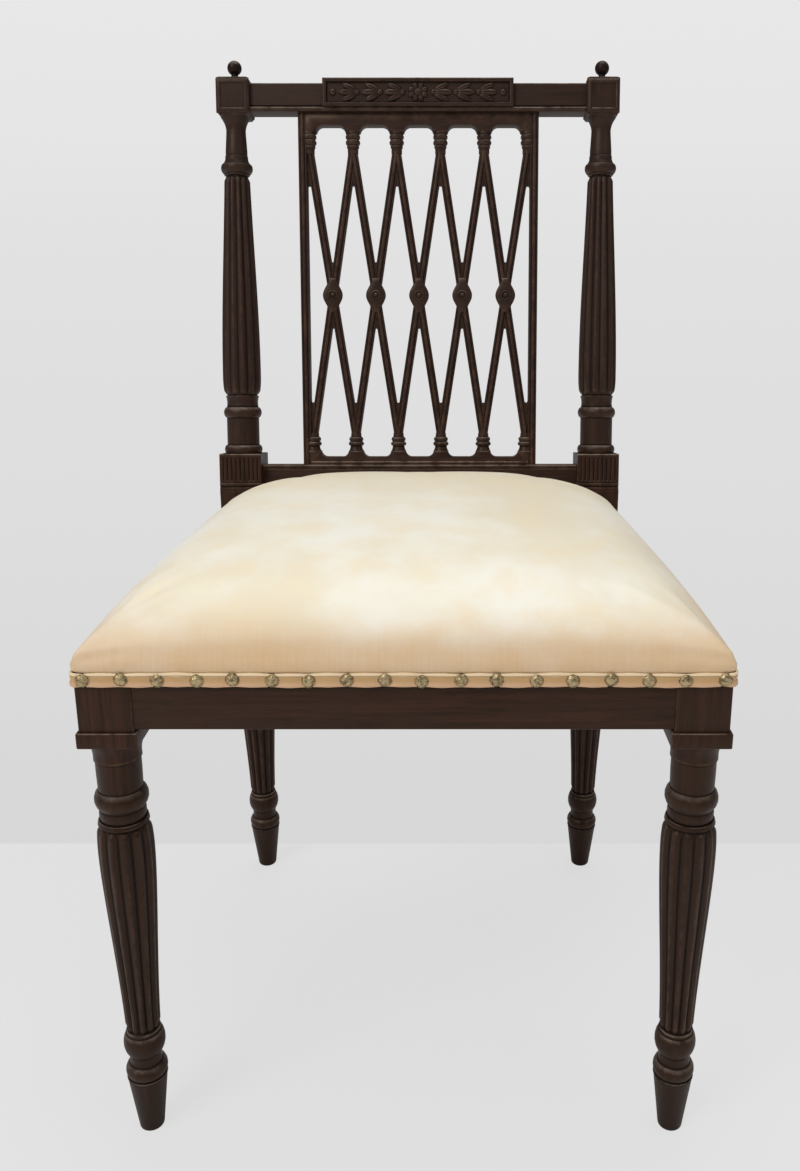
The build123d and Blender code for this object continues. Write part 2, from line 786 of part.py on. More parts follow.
def lattice_bars(hand):
    """Bars rising to one hand, halved where the others cross them and mitred where they meet."""
    edge = stile_inner_x - glue_line
    plain = Rectangle(bar_width, 2 * bar_thickness)
    bars = []
    for left, right in zip(column_places[:-1], column_places[1:]):
        middle = (left + right) / 2
        low_x = -edge if left == column_places[0] else left
        high_x = edge if right == column_places[-1] else right
        room = slab((low_x, high_x), (bars_bottom, bars_top), (-bar_thickness, bar_thickness))
        other = bar_strip(middle, -hand, plain)
        half_way = (0, bar_thickness) if hand > 0 else (-bar_thickness, 0)
        notch = slab((low_x, high_x), (bars_bottom, bars_top), half_way) & other
        peg = Pos(middle, rosette_y, bar_thickness / 2 - rosette_peg_length / 2 + joint_fit) * Cylinder(
            rosette_peg_radius + joint_fit, rosette_peg_length + 3 * joint_fit)
        bars.append((bar_strip(middle, hand, bar_section()) & room) - notch - peg)
    return back_frame * group(bars)


def rosette():
    """Disc with a domed boss in a ring groove, and a peg behind."""
    groove = rosette_boss_radius + rosette_boss_height / 2
    rim = rosette_thickness - rosette_boss_height / 2
    crest = (groove + rosette_radius) / 2
    return turning((rosette_peg_radius, -rosette_peg_length), (rosette_peg_radius, 0), (rosette_radius, 0),
                   (rosette_radius, rim), [(crest, rosette_thickness), (groove, rim)],
                   (rosette_boss_radius, rim), dome(rosette_boss_radius, rosette_boss_height, rim))


def lattice_rosettes():
    middles = [(left + right) / 2 for left, right in zip(column_places[:-1], column_places[1:])]
    return back_frame * group([Pos(x, rosette_y, bar_thickness / 2) * rosette() for x in middles])


# Webbing, base cloth, filling, cover and band of the seat
def webbing_crosswise():
    strips = []
    for y in cross_lines:
        strips.append(slab((-cross_half(y), cross_half(y)), widen((y, y), webbing_width / 2),
                           (cross_z, cross_z + webbing_thickness)))
    return group([tacked(strip) for strip in strips])


def webbing_lengthwise():
    strips = [slab(widen((x, x), webbing_width / 2), length_y, (length_z, web_top)) for x in length_lines]
    return group([tacked(strip) for strip in strips])


def seat_plan(out):
    """Plan of the whole seat, grown by out from the faces of the blocks, without the posts' notches."""
    corners = [(side_x(-front_half, 0), -front_half), (side_x(post_front_y, 0), post_front_y),
               (post_inner_x, post_front_y), (post_inner_x, post_back_y)]
    plan = make_face(Polyline(*corners, *[(-x, y) for x, y in reversed(corners)], close=True))
    return offset(plan, out, kind=Kind.ARC) if out else plan


def post_notches(room):
    """Boxes round the seat blocks of the posts, with room to spare."""
    half = post_half + room
    reach = (rail_underside, rake_start + seat_block_rise)
    return both_sides([slab((post_x - half, post_x + half), (seat_depth - half, seat_depth + half), reach)])


def hessian():
    cloth = Pos(0, 0, hessian_z) * extrude(seat_plan(-hessian_inset), hessian_thickness, dir=(0, 0, 1))
    return cloth - post_notches(post_ease)


def pad_section(y, crown, skin):
    """Cross section of the crowned filling at one place along the seat."""
    half = side_x(y, -skin)
    side = stuffing_base + crown * pad_side_share
    shoulder = half - shoulder_run
    base = (half, stuffing_base)
    left = [(-half, side), (-half + shoulder_run * pad_turn_run, stuffing_base + crown * pad_turn_share),
            (-shoulder, stuffing_base + crown * pad_shoulder_share)]
    right = [(-x, z) for x, z in left]
    outline = [Line((-half, stuffing_base), base), Line(base, right[0]), ThreePointArc(*right),
               ThreePointArc(right[2], (0, stuffing_base + crown), left[2]), ThreePointArc(*reversed(left)),
               Line(left[0], (-half, stuffing_base))]
    return Plane((0, y, 0), x_dir=(1, 0, 0), z_dir=(0, -1, 0)) * make_face(outline)


def roll(distance, run):
    """Quarter round from 0 at an edge to 1 at the end of the run."""
    left = 1 - min(distance / run, 1)
    return sqrt(1 - left * left)


def pad(skin):
    """Crowned form of the seat, grown by the skin that covers it."""
    front = -front_half - skin
    back = seat_depth - stuffing_back_gap + skin
    rising = [front + front_roll * share for share in (0, 0.04, 0.15, 0.4, 1)]
    falling = [back - back_roll * share for share in (1, 0.7, 0.42, 0.2, 0.06, 0)]
    sections = []
    for y in rising + [(front + back) / 2] + falling:
        swell = roll(y - front, front_roll) * roll(back - y, back_roll)
        sections.append(pad_section(y, stuffing_edge + skin + (stuffing_crown - stuffing_edge) * swell, skin))
    return loft(sections)


def seat_stuffing():
    return pad(0) - post_notches(post_ease + cover_thickness)


def seat_cover():
    """Cloth over the filling, turned down over the rails and cut round the posts."""
    skin = cover_ease + cover_thickness
    top = stuffing_base + cover_thickness
    bottom = rail_top - band_drop
    skirt = extrude(seat_plan(skin) - seat_plan(cover_ease), top - bottom, dir=(0, 0, 1))
    tail = slab((-post_inner_x, post_inner_x), (seat_depth - stuffing_back_gap, post_back_y + cover_ease),
                (stuffing_base, top))
    cloth = pad(skin) - pad(cover_ease) + Pos(0, 0, bottom) * skirt + tail
    return drilled(cloth - post_notches(post_ease))


def band_ring():
    z = rail_top - band_drop
    inner = cover_ease + cover_thickness
    ring = seat_plan(inner + band_thickness) - seat_plan(inner)
    return drilled(Pos(0, 0, z) * extrude(ring, band_height, dir=(0, 0, 1)))


def seat_band():
    """Band round the front and sides, up to the posts."""
    reach = front_leg_spacing
    y = (-reach, post_front_y - post_ease)
    return band_ring() & slab((-reach, reach), y, (rail_underside, stuffing_base))


def back_band():
    """Band across the back, between the posts."""
    edge = post_inner_x - post_ease
    reach = post_back_y + post_block_width
    return band_ring() & slab((-edge, edge), (post_back_y, reach), (rail_underside, stuffing_base))


# Every piece by its name. Left is towards -X.
pieces = {
    "front_seat_rail": front_seat_rail(),
    "back_seat_rail": back_seat_rail(),
    "stay_rail": stay_rail(),
    "top_rail": top_rail(),
    "top_tablet": top_tablet(),
    "splat_top_rail": arched_rail(arch_top_base, top_rail_bottom - glue_line, arch_rise),
    "splat_bottom_rail": arched_rail(arch_bottom_base, stay_rail_height + glue_line, -arch_rise),
    "upper_capitals": capitals(upper_capital_height, bars_top, -90),
    "lower_capitals": capitals(lower_capital_height, bars_bottom, 90),
    "lattice_bars_rising_left": lattice_bars(-1),
    "lattice_bars_rising_right": lattice_bars(1),
    "lattice_rosettes": lattice_rosettes(),
    "webbing_crosswise": webbing_crosswise(),
    "webbing_lengthwise": webbing_lengthwise(),
    "webbing_tacks": group([place * tack() for place in tack_places]),
    "hessian": hessian(),
    "seat_stuffing": seat_stuffing(),
    "seat_cover": seat_cover(),
    "seat_band": seat_band(),
    "back_band": back_band(),
    "upholstery_nails": group([frame * nail() for frame in nail_frames]),
    "corner_block_screws": group(both_sides([frame * screw(0, 0) for frame in right_screw_frames])),
}
right_hand = {
    "front_leg": front_leg(),
    "back_post": back_post(),
    "side_seat_rail": side_seat_rail(),
    "corner_block_front": corner_block(front_corner),
    "corner_block_back": corner_block(back_corner),
    "finial": finial(),
    "splat_stile": splat_stile(),
}
for name, piece in right_hand.items():
    pieces[name + "_right"] = piece
    pieces[name + "_left"] = mirror(piece, about=Plane.YZ)

# The origin is on the floor, in the middle of the chair's box
box = Compound([solid for piece in pieces.values() for solid in piece.solids()]).bounding_box()
to_origin = Pos(0, -(box.min.Y + box.max.Y) / 2, 0)
os.makedirs("parts", exist_ok=True)
for name, piece in pieces.items():
    export_step(to_origin * piece, "parts/" + name + ".step")
print("box", box.min, box.max)
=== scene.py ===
from math import atan2, cos, hypot, pi, radians, sin

import bmesh
import bpy
import numpy as np
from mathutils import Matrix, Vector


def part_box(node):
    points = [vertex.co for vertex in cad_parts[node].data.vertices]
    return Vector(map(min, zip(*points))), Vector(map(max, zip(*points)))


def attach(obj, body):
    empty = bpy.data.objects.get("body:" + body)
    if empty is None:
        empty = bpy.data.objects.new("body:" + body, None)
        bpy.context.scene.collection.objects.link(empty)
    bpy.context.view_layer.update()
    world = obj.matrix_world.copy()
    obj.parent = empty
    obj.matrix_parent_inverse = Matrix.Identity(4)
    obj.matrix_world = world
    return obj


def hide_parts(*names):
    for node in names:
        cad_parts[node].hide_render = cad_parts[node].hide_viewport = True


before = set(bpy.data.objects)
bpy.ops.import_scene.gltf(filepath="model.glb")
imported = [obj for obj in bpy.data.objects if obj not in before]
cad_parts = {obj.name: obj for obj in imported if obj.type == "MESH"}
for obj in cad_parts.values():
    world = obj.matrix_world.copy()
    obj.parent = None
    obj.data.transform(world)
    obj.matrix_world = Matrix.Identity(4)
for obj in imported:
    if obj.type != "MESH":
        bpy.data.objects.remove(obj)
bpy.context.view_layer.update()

# Front legs: each is turned from one square of mahogany, with carved reeds on its vase, a square cap and
# a plain block that takes the tenons of two seat rails. Sizes are in millimetres, measured from the
# middle of the front legs, and piece() sets them in the frame.
front_low, front_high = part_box("front_leg_right")
front_y = (front_low.y + front_high.y) / 2
leg_x = (front_low.x + front_high.x) / 2 * 1000
block_half = 21.0
cap_half = 23.25
cap_bottom = 369.0
cap_top = 382.0
rail_top = 430.0
seat_rear_x, seat_rear_y = 214.7, 365.5
side_slope = (seat_rear_x - leg_x - block_half) / (seat_rear_y + block_half)


class Wire:
    """A value inside a material. Sums on it add Math nodes, and node() adds any other node."""

    def __init__(self, tree, socket=None):
        self.tree = tree
        self.socket = socket

    def node(self, kind, settings=None, sockets=None, out=0):
        made = self.tree.nodes.new("ShaderNode" + kind)
        for name, value in (settings or {}).items():
            setattr(made, name, value)
        self.feed(made, sockets or {})
        return Wire(self.tree, made.outputs[out])

    def feed(self, made, sockets):
        for name, value in sockets.items():
            if isinstance(value, Wire):
                self.tree.links.new(value.socket, made.inputs[name])
            else:
                made.inputs[name].default_value = value

    def math(self, operation, first, second):
        return self.node("Math", {"operation": operation}, {0: first, 1: second})

    def __add__(self, other):
        return self.math("ADD", self, other)

    def __radd__(self, other):
        return self.math("ADD", other, self)

    def __sub__(self, other):
        return self.math("SUBTRACT", self, other)

    def __rsub__(self, other):
        return self.math("SUBTRACT", other, self)

    def __mul__(self, other):
        return self.math("MULTIPLY", self, other)

    def __rmul__(self, other):
        return self.math("MULTIPLY", other, self)

    def __rtruediv__(self, other):
        return self.math("DIVIDE", other, self)

    def between(self, low, high):
        """0 below the low value, 1 above the high one, and a smooth rise between."""
        return self.node("MapRange", {"interpolation_type": "SMOOTHSTEP"},
                         {"Value": self, "From Min": low, "From Max": high})

    def mix(self, first, second):
        """From the first colour at 0 to the second at 1."""
        return self.node("Mix", {"data_type": "RGBA"}, {0: self, 6: first, 7: second}, out=2)

    def place(self, scale):
        """Where a point of the piece is, in metres, times a scale for each direction."""
        return self.node("Mapping", {}, {"Vector": self.node("TexCoord", out=3), "Scale": scale})

    def noise(self, scale, detail=3.0, roughness=0.5):
        """Cloudy noise, with the scale in clouds to the metre for each direction."""
        return self.node("TexNoise", {}, {"Vector": self.place(scale), "Scale": 1.0, "Detail": detail,
                                          "Roughness": roughness})


def new_finish(name):
    """An empty material, with its wire and its shader."""
    made = bpy.data.materials.new(name)
    made.use_nodes = True
    return made, Wire(made.node_tree), made.node_tree.nodes["Principled BSDF"]


def mahogany(name, along, tone=1.0):
    """Old French-polished mahogany, grain along one axis, worn pale on its edges, with grime and painted
    shade in its hollows, painted shade below the seat, darker feet, a painted cool sheen higher up, and dust
    with a painted highlight on edges that face up.
    """
    made, wire, shader = new_finish(name)
    deep = (0.0165 * tone, 0.0064 * tone, 0.0038 * tone, 1)
    light = (0.048 * tone, 0.0182 * tone, 0.0098 * tone, 1)
    dull = (0.030 * tone, 0.0138 * tone, 0.0084 * tone, 1)
    worn = (0.118 * tone, 0.064 * tone, 0.037 * tone, 1)
    figure = wire.noise([9 if axis == along else 260 for axis in range(3)], 4, 0.6)
    pores = wire.noise([70 if axis == along else 2400 for axis in range(3)], 2, 0.6)
    patches = wire.noise((14, 14, 14), 4, 0.6)
    rubbed = wire.noise((85, 85, 85), 4, 0.65)
    edge = wire.node("Attribute", {"attribute_name": "edge"}, out=2)
    wear = edge.between(0.16, 0.42) * rubbed.between(0.36, 0.68)
    # Hollows and grooves are darkened by grime together with painted shade.
    grime_and_shade = (0 - edge).between(0.04, 0.28)
    colour = figure.between(0.3, 0.75).mix(deep, light)
    colour = patches.between(0.35, 0.7).mix(colour, dull)
    colour = (pores.between(0.52, 0.72) * 0.6).mix(colour, (0.007, 0.0032, 0.0024, 1))
    colour = (wear * 0.5).mix(colour, worn)
    height = wire.node("SeparateXYZ", {}, {0: wire.node("TexCoord", out=3)}, out=2)
    # Painted sheen: from the seat up the wood is mixed towards a cool grey that stands for greyish
    # reflections on the back.
    colour = (height.between(0.42, 0.6) * 0.38).mix(colour, (0.029 * tone, 0.0212 * tone, 0.0202 * tone, 1))
    # Painted shade: below the seat the legs are mixed towards near black, and the feet are darker still
    # towards the floor.
    colour = (0.36 - height.between(0.3, 0.4) * 0.36).mix(colour, (0.0105, 0.0052, 0.0029, 1))
    colour = (0.35 - height.between(0.01, 0.07) * 0.35).mix(colour, (0.009, 0.0046, 0.0024, 1))
    upward = wire.node("SeparateXYZ", {}, {0: wire.node("TexCoord", out=1)}, out=2)
    # Dust together with a painted highlight: edges that face up are mixed towards a pale grey.
    dust = upward.between(0.3, 0.9) * edge.between(0.04, 0.25) * rubbed.between(0.3, 0.6)
    colour = (dust * 0.7).mix(colour, (0.2, 0.165, 0.135, 1))
    # Grime together with painted shade darkens the hollows.
    colour = (grime_and_shade * 0.8).mix(colour, (0.0045, 0.0026, 0.002, 1))
    rough = 0.34 + patches * 0.16 + pores * 0.08 - wear * 0.08 + grime_and_shade * 0.25
    relief = figure * 0.4 - pores.between(0.52, 0.72) * 0.6 + rubbed * 0.3
    bump = wire.node("Bump", {}, {"Strength": 0.22, "Distance": 0.0004, "Height": relief})
    wire.feed(shader, {"Base Color": colour, "Roughness": rough, "Normal": bump, "Coat Weight": 0.04,
                       "Coat Roughness": 0.2, "Specular IOR Level": 0.2, "Specular Tint": (1, 0.78, 0.62, 1)})
    return made


grain_across = mahogany("mahogany_grain_across", 0)
grain_deep = mahogany("mahogany_grain_deep", 1)
grain_upright = mahogany("mahogany_grain_upright", 2)


def skin(rows, closed=True):
    """Faces over rows of points. Closed rows join up with themselves, and caps close the first and last."""
    rows = np.asarray(rows, float)
    count, width = rows.shape[:2]
    faces = []
    for row in range(count - 1):
        for column in range(width if closed else width - 1):
            first, second = row * width + column, row * width + (column + 1) % width
            faces.append((first, second, second + width, first + width))
    if closed:
        faces.append(tuple(range(width - 1, -1, -1)))
        faces.append(tuple(range((count - 1) * width, count * width)))
    return rows.reshape(-1, 3), faces


def arc(start, middle, end, steps=5):
    """Points after the start of a circle's arc through three points."""
    (ax, ay), (bx, by), (cx, cy) = start, middle, end
    turn = 2 * (ax * (by - cy) + bx * (cy - ay) + cx * (ay - by))
    a2, b2, c2 = ax * ax + ay * ay, bx * bx + by * by, cx * cx + cy * cy
    x = (a2 * (by - cy) + b2 * (cy - ay) + c2 * (ay - by)) / turn
    y = (a2 * (cx - bx) + b2 * (ax - cx) + c2 * (bx - ax)) / turn
    radius = hypot(ax - x, ay - y)
    first, half, last = (atan2(q - y, p - x) for p, q in (start, middle, end))
    to_half = (half - first + pi) % (2 * pi) - pi
    to_last = (last - half + pi) % (2 * pi) - pi
    sweep = to_half + to_last
    return [(x + radius * cos(first + sweep * step / steps), y + radius * sin(first + sweep * step / steps))
            for step in range(1, steps + 1)]


def swell(start, first, second, end, steps):
    """Points after the start of a smooth curve, which two handles shape."""
    points = []
    for step in range(1, steps + 1):
        at = 0.5 - 0.5 * cos(pi * step / steps)
        weights = ((1 - at) ** 3, 3 * at * (1 - at) ** 2, 3 * at * at * (1 - at), at ** 3)
        handles = (start, first, second, end)
        points.append(tuple(sum(weight * point[side] for weight, point in zip(weights, handles))
                            for side in (0, 1)))
    return points


def outline(start, *cuts):
    """Radius and height of a turning: a cut is a point, two points for an arc, or a list of ready points."""
    points = [start]
    for cut in cuts:
        if isinstance(cut, tuple):
            points.append(cut)
        elif len(cut) == 2:
            points += arc(points[-1], *cut)
        else:
            points += cut
    return points


def close_ends(points, near=1.2):
    """Adds a point close to each end of a long straight cut, so that wear and grime stay at its ends."""
    filled = [points[0]]
    for start, end in zip(points[:-1], points[1:]):
        far = hypot(end[0] - start[0], end[1] - start[1])
        for share in (near / far, 1 - near / far) if far > 4 * near else ():
            filled.append(tuple(a + (b - a) * share for a, b in zip(start, end)))
        filled.append(end)
    return filled


def turned(points, reeds=None, around=96):
    """A turning about Z. Reeds give a count, a depth, the heights they run between and their round ends."""
    if reeds:
        count, depth, low, high, round_end = reeds
        around = count * 8
    angles = np.arange(around) * 2 * pi / around
    rows = []
    for radius, height in close_ends(points):
        radii = np.full(around, float(radius))
        if reeds and low < height < high:
            across = angles * count / (2 * pi) % 1 * 2 - 1
            past = max(0, 1 - (height - low) / round_end, 1 - (high - height) / round_end)
            round_top = np.minimum(1, np.hypot(across, past))
            radii -= depth * (0.45 * round_top ** 1.8 + 0.55 * np.sin(pi / 2 * round_top) ** 2)
        rows.append(np.stack([radii * np.cos(angles), radii * np.sin(angles), np.full(around, height)], 1))
    return skin(rows)


def eased_block(corners, ease=0.9, steps=3):
    """A squared block on eight corners, four below and four above, with its edges taken off."""
    block = bmesh.new()
    ends = [block.verts.new(corner) for corner in corners]
    for face in ((3, 2, 1, 0), (4, 5, 6, 7), (0, 1, 5, 4), (1, 2, 6, 5), (2, 3, 7, 6), (3, 0, 4, 7)):
        block.faces.new([ends[place] for place in face])
    bmesh.ops.bevel(block, geom=block.edges[:], offset=ease, segments=steps, profile=0.5, affect="EDGES")
    block.verts.index_update()
    points = np.array([vert.co for vert in block.verts])
    faces = [tuple(vert.index for vert in face.verts) for face in block.faces]
    block.free()
    return points, faces


def box_corners(x, y, z):
    """Eight corners of a box between three pairs of limits."""
    return [(px, py, pz) for pz in z for px, py in ((x[0], y[0]), (x[1], y[0]), (x[1], y[1]), (x[0], y[1]))]


def moved(part, by):
    return part[0] + np.array(by), part[1]


def mirrored(part):
    return part[0] * np.array((-1, 1, 1)), part[1]


def mark_edges(mesh):
    """Keeps on each point how far it stands out, or with a minus how deep it lies, for wear and for grime and
    painted shade in hollows.
    """
    count = len(mesh.vertices)
    points, normals = np.empty(count * 3), np.empty(count * 3)
    mesh.vertices.foreach_get("co", points)
    mesh.vertices.foreach_get("normal", normals)
    points, normals = points.reshape(-1, 3), normals.reshape(-1, 3)
    ends = np.empty(len(mesh.edges) * 2, int)
    mesh.edges.foreach_get("vertices", ends)
    first, second = ends.reshape(-1, 2).T
    step = points[second] - points[first]
    lengths = np.maximum(np.linalg.norm(step, axis=1), 1e-9)
    step /= lengths[:, None]
    bend, links = np.zeros(count), np.zeros(count)
    np.add.at(bend, first, -(step * normals[first]).sum(1))
    np.add.at(bend, second, (step * normals[second]).sum(1))
    np.add.at(links, first, 1)
    np.add.at(links, second, 1)
    loops = len(mesh.loops)
    sides, corners = np.empty(loops, int), np.empty(loops, int)
    mesh.loops.foreach_get("edge_index", sides)
    mesh.loops.foreach_get("vertex_index", corners)
    starts, totals = np.empty(len(mesh.polygons), int), np.empty(len(mesh.polygons), int)
    mesh.polygons.foreach_get("loop_start", starts)
    mesh.polygons.foreach_get("loop_total", totals)
    flat = np.minimum.reduceat(lengths[sides], starts) > 0.004
    bend[corners[np.repeat(flat, totals)]] = 0
    kept = mesh.attributes.new("edge", "FLOAT", "POINT")
    kept.data.foreach_set("value", np.clip(3 * bend / np.maximum(links, 1), -1, 1).astype(np.float32))


def piece(name, parts, finish, stands_for, sharp=40):
    """One piece from parts in millimetres: its mesh in the frame, its finish and the nodes it stands for."""
    points, faces = [], []
    for part_points, part_faces in parts:
        base = len(points)
        points += [(x / 1000, y / 1000 + front_y, z / 1000) for x, y, z in part_points]
        faces += [tuple(base + place for place in face) for face in part_faces]
    mesh = bpy.data.meshes.new(name)
    mesh.from_pydata(points, [], faces)
    shell = bmesh.new()
    shell.from_mesh(mesh)
    bmesh.ops.recalc_face_normals(shell, faces=shell.faces)
    shell.to_mesh(mesh)
    shell.free()
    mesh.shade_smooth()
    mesh.set_sharp_from_angle(angle=radians(sharp))
    mark_edges(mesh)
    mesh.materials.append(finish)
    made = bpy.data.objects.new(name, mesh)
    bpy.context.scene.collection.objects.link(made)
    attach(made, "root")
    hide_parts(*stands_for)
    return made


def reeded_leg():
    """Foot, ankle rings, reeded vase, knee rings and the hollow under the cap."""
    points = outline(
        (8.6, 0), [(9.8, 0.5), (10.4, 1.8)], (16.5, 53), [(16.9, 53.8), (16.2, 54.4)], (15.4, 55),
        [(17.3, 61), (14.3, 67)], (13.6, 67.6), [(13.3, 72.5), (13.9, 77.4)], (14.6, 78),
        [(17.2, 87.5), (15.0, 97)], (14.1, 97.6), swell((14.1, 98), (15.2, 160), (22, 230), (22, 270), 44),
        swell((22, 270), (22, 286), (20.8, 294), (19.3, 299.5), 18), (17.4, 300),
        [(18.3, 305), (17.6, 309.6)], (17.9, 310), [(21.0, 318), (17.9, 325.6)], (17.3, 326.2), (17.6, 340),
        (17.6, 352), (18.6, 352.4), [(19.2, 362), (21.4, 368)], (21.4, 370))
    return turned(points, reeds=(12, 2.5, 100.5, 295, 5.5))


def leg_cap():
    half = cap_half
    return eased_block(box_corners((-half, half), (-half, half), (cap_bottom, cap_top)), 1.3)


def side_x(y, inset=0.0):
    """X of a line along the right side of the seat, inset from the outer faces of its blocks."""
    return leg_x + block_half + (y + block_half) * side_slope - inset


leg_block = eased_block([(x, y, z) for z in (cap_top - 1, rail_top) for x, y in (
    (leg_x - block_half, -block_half), (side_x(-block_half), -block_half), (side_x(block_half), block_half),
    (leg_x - block_half, block_half))])
right_leg = [moved(reeded_leg(), (leg_x, 0, 0)), moved(leg_cap(), (leg_x, 0, 0)), leg_block]
piece("front_leg_turned_right", right_leg, grain_upright, ["front_leg_right"])
piece("front_leg_turned_left", [mirrored(part) for part in right_leg], grain_upright, ["front_leg_left"])

# Back posts: leg, seat block, reeded column and top block are one length of mahogany, sawn so that the
# legs rake back below the seat and the columns lean back above it.
post_x = 192.2
post_half = 22.5
post_y = 388.0
rake_start = 478.0
rake = radians(8.72)
foot_rake = 16.0
seat_block_rise = 36.5
top_block_half = 17.0
top_block_low = 388.0
top_block_high = 425.5


def leaning(part):
    """From the back's own plane, as across, up and forward, to the chair."""
    x, up, forward = part[0].T
    return np.stack([x, post_y + up * sin(rake) - forward * cos(rake),
                     rake_start + up * cos(rake) + forward * sin(rake)], 1), part[1]


def on_axis(part, x):
    """A turning about Z set up along the back's plane."""
    across, deep, up = part[0].T
    return np.stack([across + x, up, -deep], 1), part[1]


def carved(x, up, back, front, cells):
    """A block in the back's plane. Front gives how far its carved face stands forward at each place."""
    across, along = np.meshgrid(np.linspace(*x, cells[0] + 1), np.linspace(*up, cells[1] + 1))
    face = np.stack([across, along, front(across, along)], 2)
    points, faces = skin(face, closed=False)
    width, height = cells[0] + 1, cells[1] + 1
    rim = [*range(width), *(row * width + width - 1 for row in range(1, height)),
           *(width * height - 2 - step for step in range(width - 1)),
           *(row * width for row in range(height - 2, 0, -1))]
    edge, top = points[rim][:, :2], points[rim][:, 2]
    near = np.minimum(1.2, 0.3 * (top - back))
    middle, size = (edge.max(0) + edge.min(0)) / 2, edge.max(0) - edge.min(0)
    inner = middle + (edge - middle) * (1 - 2.4 / size)
    flat_back = np.full(len(rim), back)
    rings = [np.column_stack([edge, level]) for level in (top - near, back + near, flat_back)]
    rings.append(np.column_stack([inner, flat_back]))
    before = rim
    for order in range(len(rings)):
        base = len(points) + order * len(rim)
        after = list(range(base, base + len(rim)))
        for place in range(len(rim)):
            follow = (place + 1) % len(rim)
            faces.append((before[follow], before[place], after[place], after[follow]))
        before = after
    faces.append(tuple(before))
    return np.concatenate([points, *rings]), faces


def rounded(distance, radius):
    """How far an edge falls back when it is rounded, from the distance to that edge."""
    left = np.clip(1 - distance / radius, 0, 1)
    return radius * (1 - np.sqrt(1 - left * left))


def raked_leg():
    """The leg of a back post, swung back about its cap."""
    points, faces = reeded_leg()
    swing = atan2(foot_rake, cap_top)
    x, y, z = points.T
    z = z - cap_top
    return np.stack([x + post_x, post_y + y * cos(swing) - z * sin(swing),
                     np.maximum(cap_top + y * sin(swing) + z * cos(swing), 0)], 1), faces


def reeded_column():
    points = outline(
        (17.2, 34), (17.2, seat_block_rise), (19.0, 36.8), [(20.2, 40.8), (18.6, 45.2)], (17.2, 45.8),
        (17.2, 62), (17.2, 75), (18.2, 75.4), [(20.2, 80.5), (18.0, 86)], (16.8, 86.5),
        [(16.4, 92), (17.2, 97)], swell((17.4, 97.5), (19.4, 102), (20.3, 109), (20.3, 118.5), 14),
        swell((20.3, 118.5), (20.3, 190), (15.4, 260), (13.2, 330.5), 42), (14.2, 330.9),
        [(16.5, 335.6), (15.6, 340)], (15.0, 340.3), [(12.9, 342.8), (11.9, 348.6)], (11.3, 349), (11.3, 354),
        (10.3, 370), swell((10.1, 374), (10.2, 380), (12.6, 384), (15.2, 387.6), 10), (15.8, 390))
    return turned(points, reeds=(12, 2.2, 99.0, 328, 5.0))


def post_face(x, up):
    """Eight fine reeds over a bead on the front of the seat block."""
    low, high, margin, pitch = 8.0, 33.0, 4.0, 4.625
    across = (x - post_x + post_half - margin) / pitch % 1 * 2 - 1
    inside = (np.abs(x - post_x) < post_half - margin) & (up > low) & (up < high)
    depth = np.where(inside, 1.9 * (1 - np.sqrt(1 - 0.96 * across ** 2)), 0)
    bead = np.clip(1 - ((up - 4.0) / 2.2) ** 2, 0, 1)
    groove = np.where(np.abs(up - 4.0) < 3.0, 1.1 - 1.5 * np.sqrt(bead), 0)
    edge = np.minimum(post_half - np.abs(x - post_x), seat_block_rise - up)
    return post_half - depth - groove - rounded(edge, 1.2)


def top_block_face(x, up):
    """A sunk square inside a moulded border."""
    middle = (top_block_low + top_block_high) / 2
    out = np.maximum(np.abs(x - post_x), np.abs(up - middle))
    border = top_block_half - out
    sunk = np.clip((border - 4.6) / 1.6, 0, 1)
    bead = np.clip(1 - ((border - 3.2) / 1.5) ** 2, 0, 1)
    return top_block_half - 2.2 * sunk + 0.7 * np.sqrt(bead) - rounded(border, 1.4) - 0.5


def top_block_body():
    """The square behind that face, its lower edges cut back to the neck and its top a low pyramid."""
    half = top_block_half
    low, high = top_block_low, top_block_high
    sizes = [(half - 2.6, low - 0.4), (half, low + 3), (half, high - 2.2), (half - 1.0, high - 0.7),
             (half - 3.2, high + 0.4), (4.0, high + 1.6)]
    rows = [[(post_x + size * a, up, size * b) for a, b in ((-1, -1), (1, -1), (1, 1), (-1, 1))]
            for size, up in sizes]
    points, faces = skin(rows)
    points[:, 2] = np.minimum(points[:, 2], half - 1.2)
    return points, faces


seat_block = eased_block(box_corners((post_x - post_half, post_x + post_half),
                                     (post_y - post_half, post_y + post_half), (cap_top - 1, rake_start + 1)))
raked_half = post_half - 0.25
joint_overlap = 4.0
upper_block = carved((post_x - raked_half, post_x + raked_half), (-joint_overlap, seat_block_rise),
                     -raked_half, post_face, (68, 40))
sunk_square = carved((post_x - top_block_half, post_x + top_block_half),
                     (top_block_low + 1.5, top_block_high - 1.0), top_block_half - 3, top_block_face,
                     (36, 34))
right_post = [raked_leg(), moved(leg_cap(), (post_x, post_y, 0)), seat_block, leaning(upper_block),
              leaning(on_axis(reeded_column(), post_x)), leaning(top_block_body()), leaning(sunk_square)]
piece("back_post_turned_right", right_post, grain_upright, ["back_post_right"])
piece("back_post_turned_left", [mirrored(part) for part in right_post], grain_upright, ["back_post_left"])

